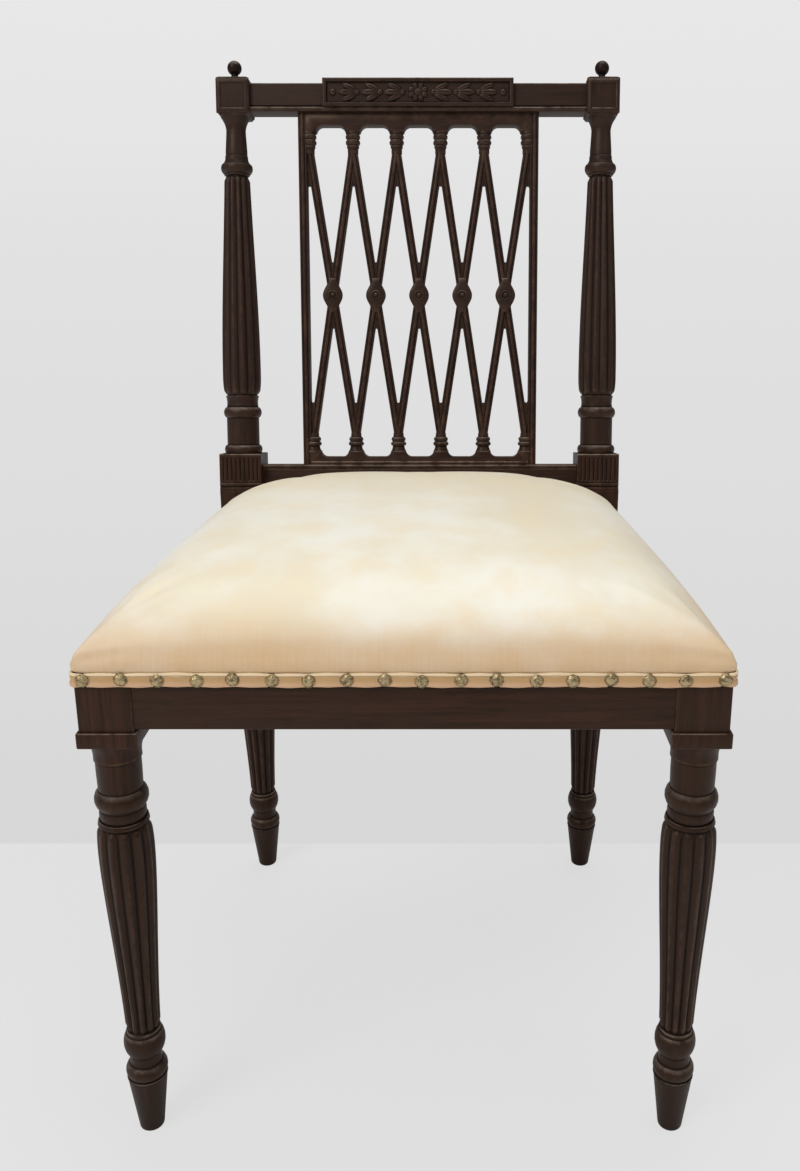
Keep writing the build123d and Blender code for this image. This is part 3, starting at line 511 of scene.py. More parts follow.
# Seat rails: four plain lengths of squared mahogany with eased edges. They are tenoned into the blocks of
# the legs and posts, and set a little behind their faces.
rail_bottom = 384.0
rail_thick = 24.0
rail_recess = 1.0
rail_z = (rail_bottom, rail_top)
front_rail_y = (rail_recess - block_half, rail_recess - block_half + rail_thick)
back_rail_y = (post_y + post_half - rail_recess - rail_thick, post_y + post_half - rail_recess)
post_front = post_y - post_half
inner_leg_x = leg_x - block_half + 1
inner_post_x = post_x - post_half + 1
front_rail = eased_block(box_corners((-inner_leg_x, inner_leg_x), front_rail_y, rail_z), 1.1)
piece("front_rail_eased", [front_rail], grain_across, ["front_seat_rail"])
back_rail = eased_block(box_corners((-inner_post_x, inner_post_x), back_rail_y, rail_z), 1.1)
piece("back_rail_eased", [back_rail], grain_across, ["back_seat_rail"])
rail_ends = (block_half - 1, post_front + 1)
right_rail = eased_block([(side_x(y, inset), y, z) for z in rail_z for y, inset in (
    (rail_ends[0], rail_recess + rail_thick), (rail_ends[0], rail_recess), (rail_ends[1], rail_recess),
    (rail_ends[1], rail_recess + rail_thick))], 1.1)
piece("side_rail_eased_right", [right_rail], grain_deep, ["side_seat_rail_right"])
piece("side_rail_eased_left", [mirrored(right_rail)], grain_deep, ["side_seat_rail_left"])

# Corner blocks: beech braces that keep the seat frame square. They are sawn, left unpolished, glued into
# its corners and screwed to the rails.


def beech(name):
    """Sawn, unpolished beech with short brown flecks, dusty with age."""
    made, wire, shader = new_finish(name)
    figure = wire.noise((35, 35, 160), 4, 0.6)
    flecks = wire.noise((300, 300, 1400), 2, 0.6)
    dust = wire.noise((22, 22, 22), 4, 0.6)
    colour = figure.between(0.3, 0.7).mix((0.25, 0.145, 0.07, 1), (0.36, 0.225, 0.12, 1))
    colour = (flecks.between(0.6, 0.7) * 0.6).mix(colour, (0.13, 0.07, 0.035, 1))
    colour = (dust.between(0.45, 0.75) * 0.5).mix(colour, (0.19, 0.135, 0.09, 1))
    bump = wire.node("Bump", {}, {"Strength": 0.4, "Distance": 0.0005, "Height": figure + flecks * 0.6})
    wire.feed(shader, {"Base Color": colour, "Roughness": 0.62 + dust * 0.2, "Normal": bump})
    return made


def steel(name):
    """Dull iron with rust in patches."""
    made, wire, shader = new_finish(name)
    rust = wire.noise((420, 420, 420), 4, 0.6).between(0.5, 0.66)
    scratch = wire.noise((3000, 3000, 600), 2, 0.5)
    wire.feed(shader, {"Base Color": rust.mix((0.36, 0.35, 0.34, 1), (0.16, 0.075, 0.035, 1)),
                       "Metallic": 1 - rust * 0.8, "Roughness": 0.34 + scratch * 0.2 + rust * 0.3})
    return made


def dress(node, finish):
    """Gives a node that keeps its own shape a finish."""
    node.data.materials.clear()
    node.data.materials.append(finish)


brace_wood = beech("corner_block_beech")
fastening_steel = steel("screw_and_tack_steel")
for node_name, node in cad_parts.items():
    if node_name.startswith("corner_block_") and "screws" not in node_name:
        dress(node, brace_wood)
for node_name in ("corner_block_screws", "webbing_tacks"):
    dress(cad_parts[node_name], fastening_steel)

# Stay rail: the low cross rail of the back, which carries the lattice. It is one length of mahogany with a
# bead along its top edge, tenoned between the posts.
stay_high = 24.4
stay_half = 10.0


def run_along(section, ends):
    """A moulding: its section, as up and forward, run across the back between two ends."""
    stations = np.linspace(*ends, 9)
    return skin([[(x, up, forward) for up, forward in section] for x in stations])


stay_section = outline(
    (0.8, -stay_half), (stay_high - 1, -stay_half), (stay_high, 1 - stay_half), (stay_high, stay_half - 2.4),
    [(stay_high - 0.9, stay_half - 0.1), (stay_high - 3.6, stay_half - 0.4)],
    (stay_high - 4.0, stay_half - 1.0), (stay_high - 4.6, stay_half - 0.2), (stay_high - 5.2, stay_half),
    (1.0, stay_half), (0, stay_half - 1), (0, 1 - stay_half))
stay_rail = leaning(run_along(stay_section, (-inner_post_x, inner_post_x)))
piece("stay_rail_moulded", [stay_rail], grain_across, ["stay_rail"])

# Lattice: thin mahogany bars halved over each other between two stiles and two arched rails, with turned
# capitals at their ends and a turned rosette pegged over each crossing.
splat_half_width = 126.2
stile_wide = 8.6
splat_half = 7.0
column_pitch = 46.1
bays = 5
top_rail_low = 391.8
arch_top, arch_rise = 373.0, 6.5
arch_low = 39.4
bars_low, bars_high = 57.0, 353.0
bar_half, bar_front, bar_lap = 4.3, 5.0, 0.35
bar_past = 2.0
web_half, web_ease = 3.1, 0.4
web_tip, web_foot = 22.0, 39.0
base_bead_up, base_bead_radius = 26.2, 1.9
rosette_up = (bars_low + bars_high) / 2
columns = [column_pitch * (step - bays / 2) for step in range(bays + 1)]
bays_middle = [(left + right) / 2 for left, right in zip(columns[:-1], columns[1:])]


def moulded_strip(start, end, half, front, lift=0.0):
    """A straight bar from start to end in the back's plane, with a bead between two flats on its front."""
    run = np.array(end, float) - np.array(start, float)
    length = np.linalg.norm(run)
    along, across = run / length, np.array((run[1], -run[0])) / length
    bead, flat = half * 0.5, front - 1.7
    section = outline((-half, -front + 0.6), (-half, front - 2.2), (-half + 0.5, flat), (-bead, flat),
                      [(0, front + lift), (bead, flat)], (half - 0.5, flat), (half, front - 2.2),
                      (half, -front + 0.6), (half - 0.6, -front), (-half + 0.6, -front))
    rows = []
    for station in np.linspace(0, length, 9):
        middle = np.array(start) + along * station
        rows.append([(*(middle + across * side), forward) for side, forward in section])
    return skin(rows)


def plank(points, front, back, ease=0.7):
    """A sawn plank on an outline in the back's plane, with its front edge eased."""
    points = np.array(points, float)
    before, after = points - np.roll(points, 1, 0), np.roll(points, -1, 0) - points
    before /= np.linalg.norm(before, axis=1, keepdims=True)
    after /= np.linalg.norm(after, axis=1, keepdims=True)
    tangent = before + after
    tangent /= np.linalg.norm(tangent, axis=1, keepdims=True)
    inward = np.stack([-tangent[:, 1], tangent[:, 0]], 1)
    rows = []
    for inset, forward in ((0, back), (0, front - ease), (ease * 0.3, front - ease * 0.3), (ease, front)):
        rows.append(np.column_stack([points + inward * inset, np.full(len(points), forward)]))
    return skin(rows)


def anticlockwise(line):
    area = sum(a[0] * b[1] - b[0] * a[1] for a, b in zip(line, line[1:] + line[:1]))
    return line if area > 0 else line[::-1]


def arched(base, back_edge, rise):
    """Outline of a lattice rail, arched between its capitals."""
    edge = splat_half_width - stile_wide + 0.5
    spring = 7.7
    turn = abs(rise) * 1.25
    line = [(edge, back_edge), (-edge, back_edge), (-edge, base)]
    for left, right in zip(columns[:-1], columns[1:]):
        low, high = left + spring, right - spring
        up_start, up_end = (low, base), (low + turn, base + rise)
        down_start, down_end = (high - turn, base + rise), (high, base)
        line += [up_start] + arc(up_start, (low + turn * 0.29, base + rise * 0.71), up_end)
        line += [down_start] + arc(down_start, (high - turn * 0.29, base + rise * 0.71), down_end)
    line.append((edge, base))
    return anticlockwise(line)


stile_middle = splat_half_width - stile_wide / 2
stiles = [moulded_strip((hand * stile_middle, stay_high - 1), (hand * stile_middle, top_rail_low + 1),
                        stile_wide / 2, splat_half + 0.8) for hand in (-1, 1)]
for part, side in zip(stiles, ("left", "right")):
    piece("stile_moulded_" + side, [leaning(part)], grain_upright, ["splat_stile_" + side])
upper_arches = plank(arched(arch_top, top_rail_low, arch_rise), splat_half, -splat_half)
piece("upper_arches_sawn", [leaning(upper_arches)], grain_across, ["splat_top_rail"])
lower_arches = plank(arched(arch_low, stay_high, -arch_rise), splat_half, -splat_half)
bead_turns = np.linspace(0, 2 * pi, 13)[:-1]
bead_section = [(base_bead_up + base_bead_radius * sin(turn), splat_half + base_bead_radius * cos(turn))
                for turn in bead_turns]
base_bead = run_along(bead_section, (stile_wide - splat_half_width, splat_half_width - stile_wide))
piece("lower_arches_sawn", [leaning(lower_arches), leaning(base_bead)], grain_across, ["splat_bottom_rail"])


def web(x, tip, foot):
    """A thin infill left between two bars where they part, its free edge hollowed."""
    hollow = foot + (tip - foot) * 0.28
    line = [(x, tip), (x - 2.9, foot), (x - 1.2, hollow), (x + 1.2, hollow), (x + 2.9, foot)]
    return plank(anticlockwise(line), web_half, -web_half, web_ease)


def stile_web(hand, tip, foot, bar_end):
    """The same infill between a stile and the bar that leaves it."""
    hollow = foot + (tip - foot) * 0.16
    stile_edge = splat_half_width - stile_wide
    bar_tip, bar_foot, bar_hollow = (
        columns[-1] - column_pitch * abs(up - bar_end) / (bars_high - bars_low + 2 * bar_past)
        for up in (tip, foot, hollow))
    gap = stile_edge - bar_hollow - bar_half - 0.1
    line = [(stile_edge + 0.8, tip), (bar_tip, tip), (bar_foot, foot), (stile_edge - gap * 0.7, hollow),
            (stile_edge - gap * 0.3, hollow), (stile_edge + 0.8, foot)]
    return plank(anticlockwise([(hand * x, up) for x, up in line]), web_half, -web_half, web_ease)


webs = []
for x in columns[1:-1]:
    webs += [web(x, bars_high - web_tip, bars_high - web_foot),
             web(x, bars_low + web_tip, bars_low + web_foot)]
for hand in (-1, 1):
    webs += [stile_web(hand, bars_high - 10, bars_high - web_foot, bars_high + bar_past),
             stile_web(hand, bars_low + 10, bars_low + web_foot, bars_low - bar_past)]
for x in bays_middle:
    webs += [web(x, rosette_up + way * (web_tip + 2), rosette_up + way * web_foot) for way in (1, -1)]
for hand, side in ((1, "right"), (-1, "left")):
    bars = [leaning(part) for part in webs] if hand > 0 else []
    for middle in bays_middle:
        reach = hand * column_pitch / 2
        front = bar_front + bar_lap if hand > 0 else bar_front
        bars.append(leaning(moulded_strip((middle - reach, bars_low - bar_past),
                                          (middle + reach, bars_high + bar_past), bar_half, front, 0.2)))
    piece("bars_rising_" + side, bars, grain_upright, ["lattice_bars_rising_" + side])


def upper_capital():
    points = outline((5.6, -1.5), (5.6, 3.2), (5.9, 4.0), [(6.6, 5.2), (5.8, 6.6)], (6.4, 7.0),
                     [(7.7, 9.6), (6.6, 12.2)], (6.2, 12.6), (6.6, 13.0), [(7.7, 15.4), (6.7, 17.8)],
                     (6.3, 18.2), (7.4, 18.4), (7.4, 20.6), (6.0, 21))
    return turned(points, around=28)


def lower_capital():
    points = outline((8.6, -1.5), [(6.9, 2.2), (6.3, 5.0)], (7.0, 5.2), [(8.4, 7.4), (7.0, 9.6)], (6.5, 9.9),
                     (6.9, 10.2), [(7.7, 12.4), (6.6, 14.6)], (6.0, 15.0), (5.6, 16), (5.6, 19))
    return turned(points, around=28)


upper_row = [leaning(moved(on_axis(upper_capital(), x), (0, bars_high, 0))) for x in columns]
piece("upper_capitals_turned", upper_row, grain_upright, ["upper_capitals"])
lower_row = [leaning(moved(on_axis(lower_capital(), x), (0, arch_low, 0))) for x in columns]
piece("lower_capitals_turned", lower_row, grain_upright, ["lower_capitals"])


def rosette():
    """A lozenge with hollowed sides that runs into the bars, and a dished button in its middle."""
    reach, waist, belly = 18.0, 4.2, 10.6
    up = np.linspace(-reach, reach, 21)
    half = waist + (belly - waist) * np.cos(pi * up / (2 * reach)) ** 2
    edge = np.concatenate([np.column_stack([half, up]), np.column_stack([-half, up])[::-1]])
    rows = [np.column_stack([edge * np.array((share, 0.25 + 0.75 * share)), np.full(len(edge), height)])
            for share, height in ((1, 3.4), (1, 4.7), (0.96, 5.3), (0.88, 5.8), (0.72, 6.2), (0.45, 6.5))]
    button = outline((5.2, 5.6), (5.2, 6.6), [(4.7, 7.5), (3.9, 7.5)], [(3.3, 6.8), (2.5, 6.3)],
                     [(1.7, 7.7), (0.25, 8.3)])
    return [skin(rows), turned(button, around=28)]


rosettes = [leaning(moved(part, (x, rosette_up, 0))) for x in bays_middle for part in rosette()]
piece("rosettes_turned", rosettes, grain_across, ["lattice_rosettes"])

# Crest: a moulded top rail tenoned between the top blocks, with a carved tablet glued on its front. The
# tablet has a raised border, a rosette in the middle and three husks on each side that open outwards.
crest_low, crest_high = 391.8, 420.6
crest_half = 11.0
tablet_half_width = 99.0
tablet_low, tablet_high = 396.2, 424.5
tablet_front = 16.1
crest_inner_x = post_x - top_block_half + 1
crest_section = outline(
    (crest_low, -crest_half), (crest_high - 1.5, -crest_half), (crest_high - 0.4, 0.4 - crest_half),
    (crest_high, 1.5 - crest_half), (crest_high, crest_half - 1.8),
    [(crest_high - 0.5, crest_half - 0.5), (crest_high - 1.8, crest_half)], (crest_low + 6.4, crest_half),
    (crest_low + 5.6, crest_half - 0.9), (crest_low + 4.8, crest_half),
    [(crest_low + 2.4, crest_half + 2.2), (crest_low, crest_half)])
crest = leaning(run_along(crest_section, (-crest_inner_x, crest_inner_x)))
piece("crest_moulded", [crest], grain_across, ["top_rail"])


def lobe(x, up, at, size, lean, height):
    """Height of a rounded leaf that leans by an angle."""
    across, over = x - at[0], up - at[1]
    along, aside = across * cos(lean) + over * sin(lean), over * cos(lean) - across * sin(lean)
    vein = 1 - 0.22 * np.exp(-(aside / 0.7) ** 2)
    return height * vein * np.sqrt(np.clip(1 - (along / size[0]) ** 2 - (aside / size[1]) ** 2, 0, 1))


def tablet_face(x, up):
    """Carving of the tablet as its height over the back's middle plane."""
    middle = (tablet_low + tablet_high) / 2
    border = np.minimum(tablet_half_width - np.abs(x), np.minimum(up - tablet_low, tablet_high - up))
    floor = tablet_front - 2.6
    bead = np.sqrt(np.clip(1 - ((border - 2.2) / 1.7) ** 2, 0, 1))
    raised = 2.6 * np.clip((4.4 - border) / 0.9, 0, 1) + 0.4 * bead
    out, over = np.abs(x), up - middle
    carving = np.maximum(raised, 3.2 * np.sqrt(np.clip(1 - (x / 4.6) ** 2 - (over / 4.0) ** 2, 0, 1)))
    for petal in range(8):
        turn = pi * (petal + 0.5) / 4
        root = (7.2 * cos(turn), 6.4 * sin(turn))
        carving = np.maximum(carving, lobe(x, over, root, (3.6, 2.6), turn, 2.5))
    husk = (((1.5, 0), (3.0, 2.8), 0, 2.2), ((11.5, 0), (9.5, 3.4), 0, 2.9),
            ((9.5, 5.0), (8.0, 2.9), 0.42, 2.6), ((9.5, -5.0), (8.0, 2.9), -0.42, 2.6))
    for place in range(3):
        root = 14.5 + 23.5 * place
        for at, size, lean, height in husk:
            carving = np.maximum(carving, lobe(out, over, (root + at[0], at[1]), size, lean, height))
    carving = np.maximum(carving, lobe(out, over, (88.5, 0), (3.4, 3.4), 0, 2.4))
    tooling = 0.12 * np.sin(x * 2.3) * np.sin(over * 2.9)
    return floor + np.maximum(carving, tooling) - rounded(border, 0.8)


tablet = carved((-tablet_half_width, tablet_half_width), (tablet_low, tablet_high), crest_half - 0.6,
                tablet_face, (330, 48))
backing_half = tablet_half_width - 0.3
backing = eased_block(box_corners((-backing_half, backing_half), (crest_high - 3, tablet_high - 0.2),
                                  (-crest_half + 0.1, crest_half + 0.5)), 0.8)
piece("tablet_carved", [leaning(tablet), leaning(backing)], grain_across, ["top_tablet"])

# Finials: two small balls on short necks that end the posts. They are turned from mahogany, nearly black
# with age, and pegged into the top blocks.
finial_points = outline(
    (5.2, -0.4), (5.2, 1.0), [(4.0, 2.2), (3.5, 4.0)], (3.6, 6.2),
    swell((3.6, 6.2), (5.6, 6.8), (7.4, 9.4), (7.4, 12.6), 10),
    swell((7.4, 12.6), (7.4, 16.6), (4.2, 19.9), (0.3, 19.9), 14))
finial = leaning(moved(on_axis(turned(finial_points, around=48), post_x), (0, top_block_high, 0)))
blackened = mahogany("mahogany_blackened", 2, 0.4)
piece("finial_turned_right", [finial], blackened, ["finial_right"])
piece("finial_turned_left", [mirrored(finial)], blackened, ["finial_left"])

# Webbing: eight jute strips that carry the stuffing. They are woven over and under each other, stretched
# across the frame and tacked to the top of the rails.
web_wide = 50.0
web_thick = 1.4
web_middle = 431.5
web_inset = 5.0
web_count = 4


def jute(name, thread):
    """Coarse jute: a plain weave in warp and weft, with hairy speckles."""
    made, wire, shader = new_finish(name)
    place = wire.place((1, 1, 1))
    threads = []
    for axis in ("X", "Y"):
        threads.append(wire.node("TexWave", {"bands_direction": axis, "wave_profile": "SIN"},
                                 {"Vector": place, "Scale": 170.0, "Distortion": 1.2, "Detail": 2.0,
                                  "Detail Scale": 3.0}, out=1))
    weave = threads[0] * threads[1]
    hairs = wire.noise((900, 900, 900), 3, 0.6)
    age = wire.noise((18, 18, 18), 4, 0.6)
    colour = weave.between(0.05, 0.5).mix((0.20, 0.135, 0.075, 1), thread)
    colour = (age.between(0.4, 0.75) * 0.45).mix(colour, (0.22, 0.155, 0.095, 1))
    bump = wire.node("Bump", {}, {"Strength": 0.7, "Distance": 0.0008, "Height": weave + hairs * 0.5})
    wire.feed(shader, {"Base Color": colour, "Roughness": 0.8 + hairs * 0.15, "Normal": bump})
    return made


def strip(along, across, heights):
    """A flat strip of webbing through a list of places along it, each with its height."""
    half, third, thick = web_wide / 2, web_wide / 6, web_thick / 2
    section = [(-half, -thick), (-third, -thick), (third, -thick), (half, -thick), (half, thick),
               (third, thick), (-third, thick), (-half, thick)]
    return [[(at, across + side, height + up) for side, up in section] for at, height in zip(along, heights)]


webbing_finish = jute("webbing_jute", (0.46, 0.34, 0.20, 1))
low_y, high_y = front_rail_y[1], back_rail_y[0]
cross_lines = [low_y + (high_y - low_y) * (step + 0.5) / web_count for step in range(web_count)]
inner_half = post_x - post_half
length_lines = [-inner_half + 2 * inner_half * (step + 0.5) / web_count for step in range(web_count)]
weave_rise = 0.62
cross_strips = []
for order, y in enumerate(cross_lines):
    reach = side_x(y + web_wide / 2, 1 + web_inset)
    along = np.linspace(-reach, reach, 49)
    passed = (along - length_lines[0]) / (length_lines[1] - length_lines[0])
    wave = weave_rise * np.cos(pi * (passed + order))
    rows = strip(along, y, web_middle + wave * (np.abs(along) < inner_half))
    cross_strips.append(skin(rows))
crosswise = piece("webbing_woven_crosswise", cross_strips, webbing_finish, ["webbing_crosswise"])
cross_length = 2 * side_x((low_y + high_y) / 2, 1 + web_inset) / 1000
length_strips = []
length_ends = (front_rail_y[0] + web_inset, back_rail_y[1] - web_inset)
for order, x in enumerate(length_lines):
    along = np.linspace(*length_ends, 45)
    passed = (along - cross_lines[0]) / (cross_lines[1] - cross_lines[0])
    wave = weave_rise * np.cos(pi * (passed + order + 1))
    inside = (along > low_y) & (along < high_y)
    rows = strip(along, x, web_middle + 0.2 + wave * inside)
    length_strips.append(skin([[(side, at, up) for at, side, up in row] for row in rows]))
lengthwise = piece("webbing_woven_lengthwise", length_strips, webbing_finish, ["webbing_lengthwise"])

# Hessian: one loosely woven jute cloth that keeps the stuffing off the webbing. It is stretched over the
# strips and cut round the posts.
hessian_low = 433.9
hessian_thick = 0.8
hessian_inset = 5.0
hessian_finish = jute("hessian_cloth", (0.50, 0.39, 0.24, 1))
hessian_rows = []
for y in np.linspace(-block_half + hessian_inset, post_y + post_half - hessian_inset, 32):
    half = side_x(y, hessian_inset) if y < post_front - 2 else inner_half - 1.5
    across = np.linspace(-half, half, 30)
    sag = 0.1 * np.cos(across / 9) * np.cos(y / 11)
    under = [(x, y, hessian_low + low) for x, low in zip(across, sag)]
    over = [(x, y, hessian_low + hessian_thick + low) for x, low in zip(across, sag)]
    hessian_rows.append(under + over[::-1])
hessian = piece("hessian_stretched", [skin(hessian_rows)], hessian_finish, ["hessian"])
hessian_wide = 2 * side_x(-block_half, hessian_inset)
hessian_wide / 1000

# Seat: hair stuffing under a cream silky cloth, drawn tight over the frame, cut round the posts and nailed
# to the rails. The cloth swells under pressure from a slightly smaller form, held at its edge.
pad_base = 435.2
pad_lip = 430.6
pad_crown = 71.5
pad_edge = 11.0
pad_back = post_y - 2.5
pad_top_y = 232.0
pad_middle_y = 185.0
side_round, front_round, back_round = 3.4, 3.0, 9.0
skin_out = 1.4
back_face = post_y + post_half


def silk(name):
    """Cream satin: cloudy fading from cream to tan, painted shade as tan where the sides and front turn down,
    fine streaks along the thread and a soft sheen.
    """
    made, wire, shader = new_finish(name)
    clouds = wire.noise((7, 6, 9), 5, 0.55)
    blots = wire.noise((24, 24, 30), 4, 0.6)
    streaks = wire.noise((420, 26, 20), 3, 0.6)
    threads = wire.noise((1900, 240, 240), 2, 0.5)
    place = wire.node("TexCoord", out=3)
    height = wire.node("SeparateXYZ", {}, {0: place}, out=2)
    deep = wire.node("SeparateXYZ", {}, {0: place}, out=1) + clouds * 0.16 - 0.08
    # Painted shade: the low sides and front of the pad, where the cover turns down, are picked out here.
    low = 1 - (height + clouds * 0.024 - 0.012).between(0.440, 0.480)
    colour = clouds.between(0.36, 0.62).mix((0.76, 0.68, 0.51, 1), (0.82, 0.795, 0.70, 1))
    colour = (deep.between(-0.04, 0.14) * 0.7).mix(colour, (0.785, 0.675, 0.47, 1))
    colour = (blots.between(0.44, 0.66) * 0.42).mix(colour, (0.80, 0.67, 0.45, 1))
    # Painted shade as tan on the low, turned-down faces, broken up by blots and streaks.
    colour = (low * (0.5 + blots * 0.5 + streaks * 0.22)).mix(colour, (0.60, 0.395, 0.215, 1))
    rough = 0.46 + streaks * 0.14 + threads * 0.06
    bump = wire.node("Bump", {}, {"Strength": 0.16, "Distance": 0.0003, "Height": threads + streaks * 0.8})
    wire.feed(shader, {"Base Color": colour, "Roughness": rough, "Normal": bump, "Sheen Weight": 0.22,
                       "Sheen Roughness": 0.45, "Specular IOR Level": 0.35})
    return made


def pad_height(x, y, out):
    """Height of the crowned seat over its base: it falls in one sweep on all sides to a short edge."""
    aside = np.clip(np.abs(x) / side_x(y, -out), 0, 1)
    ahead = np.clip((pad_top_y - y) / (pad_top_y + block_half + out), 0, 1)
    behind = np.clip((y - pad_top_y) / (pad_back + out - pad_top_y), 0, 1)
    fall = (1 - aside ** side_round) * (1 - ahead ** front_round) * (1 - behind ** back_round)
    return pad_edge + (pad_crown - pad_edge) * np.sqrt(fall)


def pad_plan(out):
    """Half-round corners at the front, notches for the posts at the back, in even steps round the seat."""
    notch = post_half + 2.2
    right = [(side_x(-block_half, -out), -block_half - out), (side_x(post_y - notch, -out), post_y - notch),
             (post_x - notch, post_y - notch), (post_x - notch, pad_back + out)]
    corners = right + [(-x, y) for x, y in reversed(right)]
    radii = [3, 5, 3, 8]
    radii = radii + radii[::-1]
    line = []
    for place, corner in enumerate(corners):
        corner = np.array(corner)
        before, after = np.array(corners[place - 1]), np.array(corners[(place + 1) % len(corners)])
        to_before, to_after = before - corner, after - corner
        size = min(radii[place], 0.45 * np.linalg.norm(to_before), 0.45 * np.linalg.norm(to_after))
        start = corner + to_before / np.linalg.norm(to_before) * size
        end = corner + to_after / np.linalg.norm(to_after) * size
        for at in np.linspace(0, 1, 5):
            line.append((1 - at) ** 2 * start + 2 * at * (1 - at) * corner + at * at * end)
    line = np.array(line + [line[0]])
    steps = np.concatenate([[0], np.cumsum(np.linalg.norm(np.diff(line, axis=0), axis=1))])
    even = np.linspace(0, steps[-1], 221)[:-1]
    for corner_middle in (steps[2], steps[-4]):
        even[np.argmin(np.abs(even - corner_middle))] = corner_middle
    return np.column_stack([np.interp(even, steps, line[:, side]) for side in (0, 1)])


def pad_rows(out, swell_share):
    """Rings of the seat from the middle of its top out to its edge, down to the lip and in under it."""
    edge = pad_plan(out)
    middle = np.array((0, pad_middle_y))
    rows = []
    near_edge = [0.83, 0.87, 0.902, 0.929, 0.952, 0.97, 0.984, 0.993, 1.0]
    for share in [0.004, *np.linspace(0.05, 0.78, 14), *near_edge]:
        ring = middle + (edge - middle) * share
        rows.append(np.column_stack([ring, pad_base + swell_share * pad_height(ring[:, 0], ring[:, 1], out)]))
    top = rows[-1][:, 2]
    for share, bulge in ((0.72, 1.2), (0.45, 1.7), (0.2, 1.3), (0.0, 0.0)):
        out_from = (edge - middle) / np.linalg.norm(edge - middle, axis=1, keepdims=True)
        rows.append(np.column_stack([edge + out_from * bulge, pad_lip + (top - pad_lip) * share]))
    for share, height in ((0.988, pad_lip), (0.982, pad_base), (0.7, pad_base), (0.35, pad_base),
                          (0.004, pad_base)):
        ring = middle + (edge - middle) * share
        rows.append(np.column_stack([ring, np.full(len(ring), height)]))
    return rows


def puffed(made, cap, held_below):
    """Blows the cloth up a little from inside, with everything below a height held still."""
    mesh = made.data
    count = len(mesh.vertices)
    before = np.empty(count * 3)
    mesh.vertices.foreach_get("co", before)
    before = before.reshape(-1, 3)
    held = made.vertex_groups.new(name="held")
    held.add([int(place) for place in np.nonzero(before[:, 2] < held_below)[0]], 1.0, "REPLACE")
    cloth = made.modifiers.new("swelling", "CLOTH")
    cloth.settings.quality = 6
    cloth.settings.mass = 0.25
    cloth.settings.tension_stiffness = cloth.settings.compression_stiffness = 20
    cloth.settings.shear_stiffness = 8
    cloth.settings.bending_stiffness = 2
    cloth.settings.vertex_group_mass = "held"
    cloth.settings.use_pressure = True
    cloth.settings.uniform_pressure_force = 4
    cloth.settings.effector_weights.gravity = 0
    cloth.collision_settings.use_collision = False
    scene = bpy.context.scene
    for step in range(1, 21):
        scene.frame_set(step)
    swollen = made.evaluated_get(bpy.context.evaluated_depsgraph_get())
    after = np.empty(count * 3)
    swollen.data.vertices.foreach_get("co", after)
    step = after.reshape(-1, 3) - before
    made.modifiers.remove(cloth)
    scene.frame_set(1)
    far = np.linalg.norm(step, axis=1, keepdims=True)
    step *= np.minimum(1, cap / np.maximum(far, 1e-9))
    mesh.vertices.foreach_set("co", (before + step).ravel())
    mesh.update()
    return float(far.max())


def cover_tail():
    """The end of the cover, pulled over the back rail between the posts and down behind the band."""
    line = ((pad_back - 3, 3.4, 1.0), (pad_back + 6, 2.1, 0.9), (back_face - 10.5, 1.6, 0.5),
            (back_face - 3.5, 0.4, -0.3), (back_face + 0.5, -2.2, -3.0), (back_face + 1.5, -4.8, -5.0))
    rows = []
    for x in np.linspace(1.5 - inner_half, inner_half - 1.5, 61):
        gather = 0.22 * sin(x / 13) + 0.16 * sin(x / 5.3 + 1)
        rows.append([(x, y, pad_base + high + gather) for y, high, low in line]
                    + [(x, y - 0.6, pad_base + low) for y, high, low in line[::-1]])
    return skin(rows)


seat_finish = silk("seat_satin")
seat = piece("seat_stuffed_over", [skin(pad_rows(skin_out, 0.985)), cover_tail()], seat_finish,
             ["seat_cover", "seat_stuffing"], sharp=70)
print("seat swells by", puffed(seat, 0.003, (pad_base + 4) / 1000))
smooth = seat.modifiers.new("fine_surface", "SUBSURF")
smooth.levels = smooth.render_levels = 1

# Band: a folded strip of peach satin round the rails, over the raw edge of the cover, puffed up between
# the nails that pin it. One runs round the front and sides, another across the back.
band_low, band_high = 420.4, 431.9
band_in = skin_out + 0.1
nail_pitch = 28.5
nail_end = 8.0


def spread(low, high):
    """Even places between two limits, about a nail's pitch apart."""
    steps = max(1, round((high - low) / nail_pitch))
    return [low + (high - low) * step / steps for step in range(steps + 1)]


def band_satin(name):
    """Peach satin, pinker in its lower fold, with painted shade making it darker and more golden above that,
    a painted highlight making its rolled upper edge pale, and painted shade in its creases.
    """
    made, wire, shader = new_finish(name)
    clouds = wire.noise((40, 40, 60), 4, 0.6)
    threads = wire.noise((1500, 1500, 300), 2, 0.5)
    edge = wire.node("Attribute", {"attribute_name": "edge"}, out=2)
    height = wire.node("SeparateXYZ", {}, {0: wire.node("TexCoord", out=3)}, out=2)
    # Painted shade: above its lower fold the band is mixed towards a darker gold.
    colour = height.between(0.4222, 0.4262).mix((0.57, 0.35, 0.205, 1), (0.48, 0.29, 0.12, 1))
    colour = (clouds.between(0.4, 0.75) * 0.4).mix(colour, (0.545, 0.345, 0.165, 1))
    # Painted highlight: the rolled upper edge is mixed towards a pale peach.
    colour = height.between(0.4288, 0.4299).mix(colour, (0.75, 0.585, 0.365, 1))
    # Painted shade in the creases round the nails and along the band's folds.
    colour = ((0 - edge).between(0.05, 0.4) * 0.7).mix(colour, (0.36, 0.21, 0.11, 1))
    bump = wire.node("Bump", {}, {"Strength": 0.2, "Distance": 0.0003, "Height": threads})
    wire.feed(shader, {"Base Color": colour, "Roughness": 0.42 + threads * 0.12, "Normal": bump,
                       "Sheen Weight": 0.2, "Sheen Roughness": 0.4})
    return made


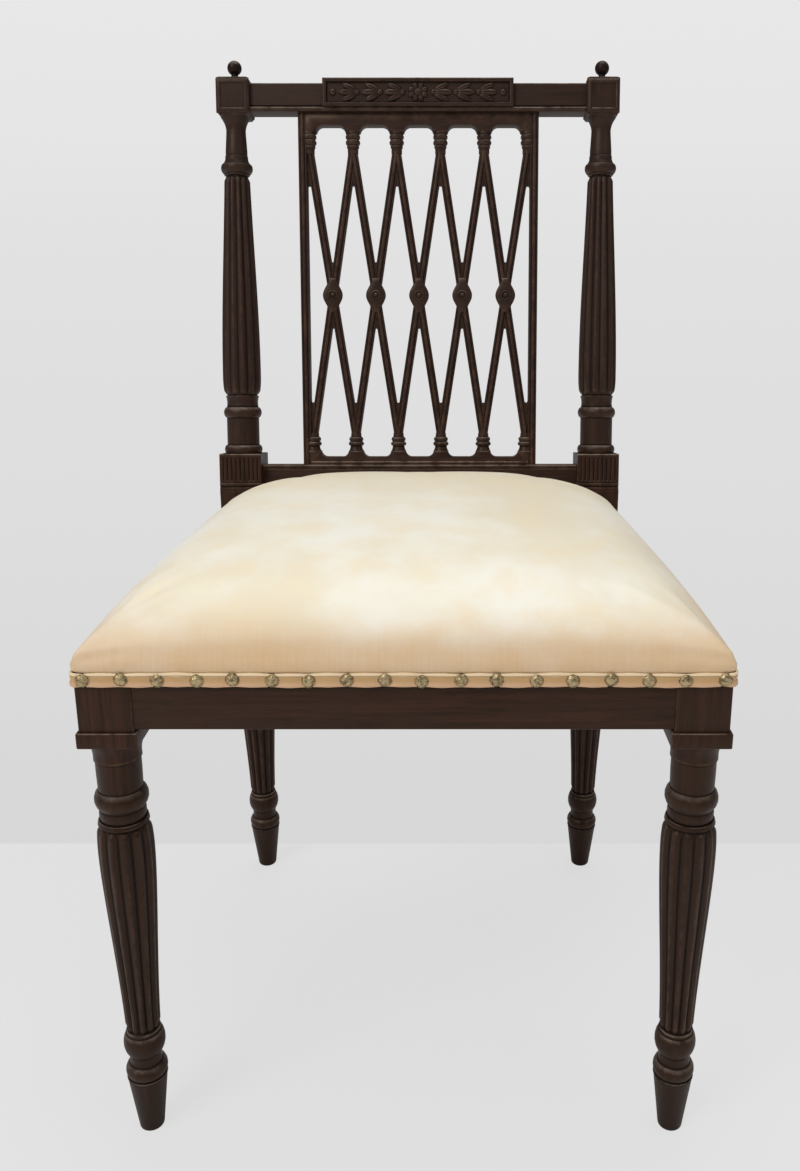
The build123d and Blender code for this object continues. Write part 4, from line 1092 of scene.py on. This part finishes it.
def band_strip(line, nails):
    """The band along a line of places with their outward directions. Nails are distances along it."""
    rows = []
    for distance, place, out in line:
        near = min(abs(distance - nail) for nail in nails)
        puff = min(1.0, near / (nail_pitch * 0.45)) ** 0.75
        body = 0.9 + 2.1 * puff
        pull = 0.7 * (1 - puff)
        droop = 0.22 * sin(distance / 23.0) + 0.16 * sin(distance / 9.1 + 1)
        low, high = band_low + pull * 0.6 + droop, band_high - pull + droop
        section = outline(
            (0.0, low + 0.7), [(0.55 * body, low - 0.1), (body, low + 1.6)],
            [(0.9 * body, low + 3.2), (0.72 * body, low + 4.4)],
            [(0.66 * body, low + 6.0), (0.8 * body, high - 3.2)], (0.6 * body, high - 2.5),
            [(0.9 + 0.5 * body, high - 1.2), (0.7, high)], (0.0, high - 0.3))
        rows.append([(place[0] + out[0] * (band_in + depth), place[1] + out[1] * (band_in + depth), up)
                     for depth, up in section])
    return skin(rows)


def along_path(corners, step=2.4, corner_round=3.0):
    """Places, distances and outward directions along straight runs with rounded corners."""
    line, distance = [], 0.0
    points = [np.array(corner, float) for corner in corners]
    for place in range(len(points) - 1):
        run = points[place + 1] - points[place]
        length = np.linalg.norm(run)
        out = np.array((run[1], -run[0])) / length
        first = corner_round + 0.6 if place > 0 else 0.0
        last = length - corner_round - 0.6 if place < len(points) - 2 else length
        for at in np.arange(first, last, step):
            line.append((distance + at, points[place] + run * at / length, out))
        distance += length
        if place < len(points) - 2:
            follow = points[place + 2] - points[place + 1]
            turned_out = np.array((follow[1], -follow[0])) / np.linalg.norm(follow)
            inward = (out + turned_out) * corner_round / (1 + out @ turned_out)
            for at in (0, 0.2, 0.4, 0.6, 0.8, 1):
                mixed = out * (1 - at) + turned_out * at
                mixed /= np.linalg.norm(mixed)
                line.append((distance, points[place + 1] - inward + mixed * corner_round, mixed))
    line.append((distance, points[-1], out))
    return line, distance


band_finish = band_satin("band_satin")
front_corner = (side_x(-block_half), -block_half)
side_end = (side_x(post_front - 1), post_front - 1)
band_corners = [(-side_end[0], side_end[1]), (-front_corner[0], front_corner[1]), front_corner, side_end]
band_line, band_length = along_path(band_corners)
side_length = hypot(side_end[0] - front_corner[0], side_end[1] - front_corner[1])
front_x = spread(-(front_corner[0] - nail_end), front_corner[0] - nail_end)
side_y = spread(nail_end, post_front - nail_end)
stretch = hypot(1, side_slope)
side_at = [(y + block_half) * stretch for y in side_y]
nail_at = ([side_length - at for at in side_at] + [side_length + front_corner[0] + x for x in front_x]
           + [band_length - side_length + at for at in side_at])
seat_band = piece("seat_band_folded", [band_strip(band_line, nail_at)], band_finish, ["seat_band"],
                  sharp=60)
band_length / 1000
back_x = spread(-(inner_half - nail_end), inner_half - nail_end)
back_line, back_length = along_path([(inner_half - 1, back_face), (1 - inner_half, back_face)])
back_nail_at = [inner_half - 1 + x for x in back_x]
back_band = piece("back_band_folded", [band_strip(back_line, back_nail_at)], band_finish, ["back_band"],
                  sharp=60)
back_length / 1000

# Nails: brass nails with domed heads that hold the band and the edge of the cover to the rails. The heads
# are dimpled by the hammer, dull with age and driven a little unevenly.
head_radius = 5.3
head_rise = 3.0
nail_up = 426.0


def brass(name):
    """Antique brass: pale gold where it is rubbed, brown in the dimples and at the rim."""
    made, wire, shader = new_finish(name)
    dimples = wire.node("TexVoronoi", {}, {"Vector": wire.place((1, 1, 1)), "Scale": 620.0})
    tarnish = wire.noise((330, 330, 330), 4, 0.65)
    edge = wire.node("Attribute", {"attribute_name": "edge"}, out=2)
    dark = (tarnish.between(0.42, 0.66) * 0.7 + (0 - edge).between(0.05, 0.3)).between(0.0, 1.0)
    colour = dark.mix((0.52, 0.41, 0.23, 1), (0.11, 0.075, 0.04, 1))
    bump = wire.node("Bump", {}, {"Strength": 0.7, "Distance": 0.0006, "Height": dimples + tarnish * 0.3})
    wire.feed(shader, {"Base Color": colour, "Metallic": 1.0, "Roughness": 0.36 + tarnish * 0.28,
                       "Normal": bump})
    return made


def nail_head(order):
    """A dome on a thin rim, with shallow dents that differ from nail to nail."""
    points = outline((4.4, -0.5), (head_radius, -0.2), (head_radius + 0.1, 0.4), (head_radius - 0.5, 0.8),
                     swell((head_radius - 0.5, 0.8), (4.6, 2.2), (2.4, head_rise), (0.25, head_rise), 6))
    head, faces = turned(points, around=20)
    x, y, z = head.T
    dents = 0.16 * np.sin(1.9 * x + order * 1.7) * np.sin(2.1 * y + order * 2.3) * np.clip(z, 0, 1)
    return np.stack([x, y, z + dents], 1), faces


def driven(head, place, out, tilt):
    """A head set on the band, facing outwards."""
    across = np.array((-out[1], out[0], 0.0))
    facing = np.array((out[0], out[1], tilt))
    facing /= np.linalg.norm(facing)
    up = np.cross(facing, across)
    points = head[0] @ np.stack([across, up, facing])
    return points + np.array(place), head[1]


heads = []
slope_out = np.array((1, -side_slope)) / stretch
nail_spots = [((x, -block_half), (0, -1)) for x in front_x] + [((x, back_face), (0, 1)) for x in back_x]
for y in side_y:
    nail_spots += [((hand * side_x(y), y), (hand * slope_out[0], slope_out[1])) for hand in (1, -1)]
for order, ((x, y), out) in enumerate(nail_spots):
    nudge = 0.9 * sin(order * 2.7)
    seat_depth = band_in + 1.2
    place = (x + out[0] * seat_depth - out[1] * nudge, y + out[1] * seat_depth + out[0] * nudge,
             nail_up + 0.7 * sin(order * 1.9))
    heads.append(driven(nail_head(order), place, out, 0.12 * sin(order * 3.1)))
piece("nail_heads_brass", heads, brass("antique_brass"), ["upholstery_nails"], sharp=60)

# Studio: a pale floor that turns a little darker past the chair, soft light from above and both sides,
# and a camera at eye height in front of the seat.
floor_reach = 13.0
floor_line = 0.224


def studio_floor():
    """Pale grey paper: it takes the light in front, and past the chair it fades evenly into the backdrop."""
    made, wire, shader = new_finish("floor_paper")
    deep = wire.node("SeparateXYZ", {}, {0: wire.node("TexCoord", out=3)}, out=1)
    speck = wire.noise((900, 900, 900), 2, 0.5)
    grey = deep.between(-1.0, floor_line).mix((0.82, 0.82, 0.82, 1), (0.76, 0.76, 0.76, 1))
    wire.feed(shader, {"Base Color": grey, "Roughness": 0.85 + speck * 0.1, "Specular IOR Level": 0.1})
    past = deep.between(floor_line - 0.003, floor_line + 0.003)
    near = 0.807 - deep.between(-1.0, floor_line) * 0.055
    level = near + past * (0.76 - 0.0975 / (deep + 0.98) - near)
    paper = wire.node("Emission", {}, {"Color": wire.node("CombineXYZ", {}, {0: level, 1: level, 2: level})})
    even = (0.86 + past * 0.14) * wire.node("LightPath", out=0)
    lit = Wire(wire.tree, shader.outputs[0])
    both = wire.node("MixShader", {}, {0: even, 1: lit, 2: paper})
    wire.feed(wire.tree.nodes["Material Output"], {"Surface": both})
    return made


bpy.ops.mesh.primitive_plane_add(size=2 * floor_reach)
floor = bpy.context.object
floor.name = "studio_floor"
floor.data.materials.append(studio_floor())


def softbox(name, place, target, wide, power):
    lamp = bpy.data.lights.new(name, "AREA")
    lamp.size = wide
    lamp.energy = power
    made = bpy.data.objects.new(name, lamp)
    made.location = place
    aim = np.array(target) - np.array(place)
    made.rotation_mode = "QUATERNION"
    made.rotation_quaternion = Vector(aim).to_track_quat("-Z", "Y")
    bpy.context.scene.collection.objects.link(made)


softbox("key_softbox", (-2.6, -3.0, 3.6), (0, 0, 0.4), 2.2, 122)
softbox("fill_softbox", (3.4, -2.2, 2.8), (0, 0, 0.45), 2.0, 16)
softbox("top_softbox", (0.3, 0.6, 4.2), (0, 0, 0.4), 2.0, 56)
world = bpy.data.worlds.new("studio_air")
bpy.context.scene.world = world
world.use_nodes = True
air = Wire(world.node_tree)
rise_of_view = air.node("SeparateXYZ", {}, {0: air.node("TexCoord", out=0)}, out=2)
shade = rise_of_view.between(-0.06, 0.18).mix((0.752, 0.752, 0.752, 1), (0.805, 0.805, 0.805, 1))
shown, glossy = air.node("LightPath", out=0), air.node("LightPath", out=3)
strength = 0.55 + shown * 0.45 - glossy * 0.4
air.feed(world.node_tree.nodes["Background"], {"Color": shade, "Strength": strength})

camera_data = bpy.data.cameras.new("studio_camera")
camera = bpy.data.objects.new("studio_camera", camera_data)
bpy.context.scene.collection.objects.link(camera)
image_wide, image_high = 800, 1171
focal_pixels = 1072.0
principal = (454.4, 540.1)
camera_aside, camera_ahead, camera_up = 0.0378, 0.75925, 0.7436
camera_dip = 15.9
camera_data.lens = camera_data.sensor_width * focal_pixels / image_high
camera_data.shift_x = (image_wide / 2 - principal[0]) / image_high
camera_data.shift_y = (principal[1] - image_high / 2) / image_high
camera.location = (camera_aside, front_y - camera_ahead, camera_up)
camera.rotation_euler = (radians(90 - camera_dip), 0, 0)
bpy.context.scene.camera = camera
bpy.context.scene.view_settings.view_transform = "Standard"
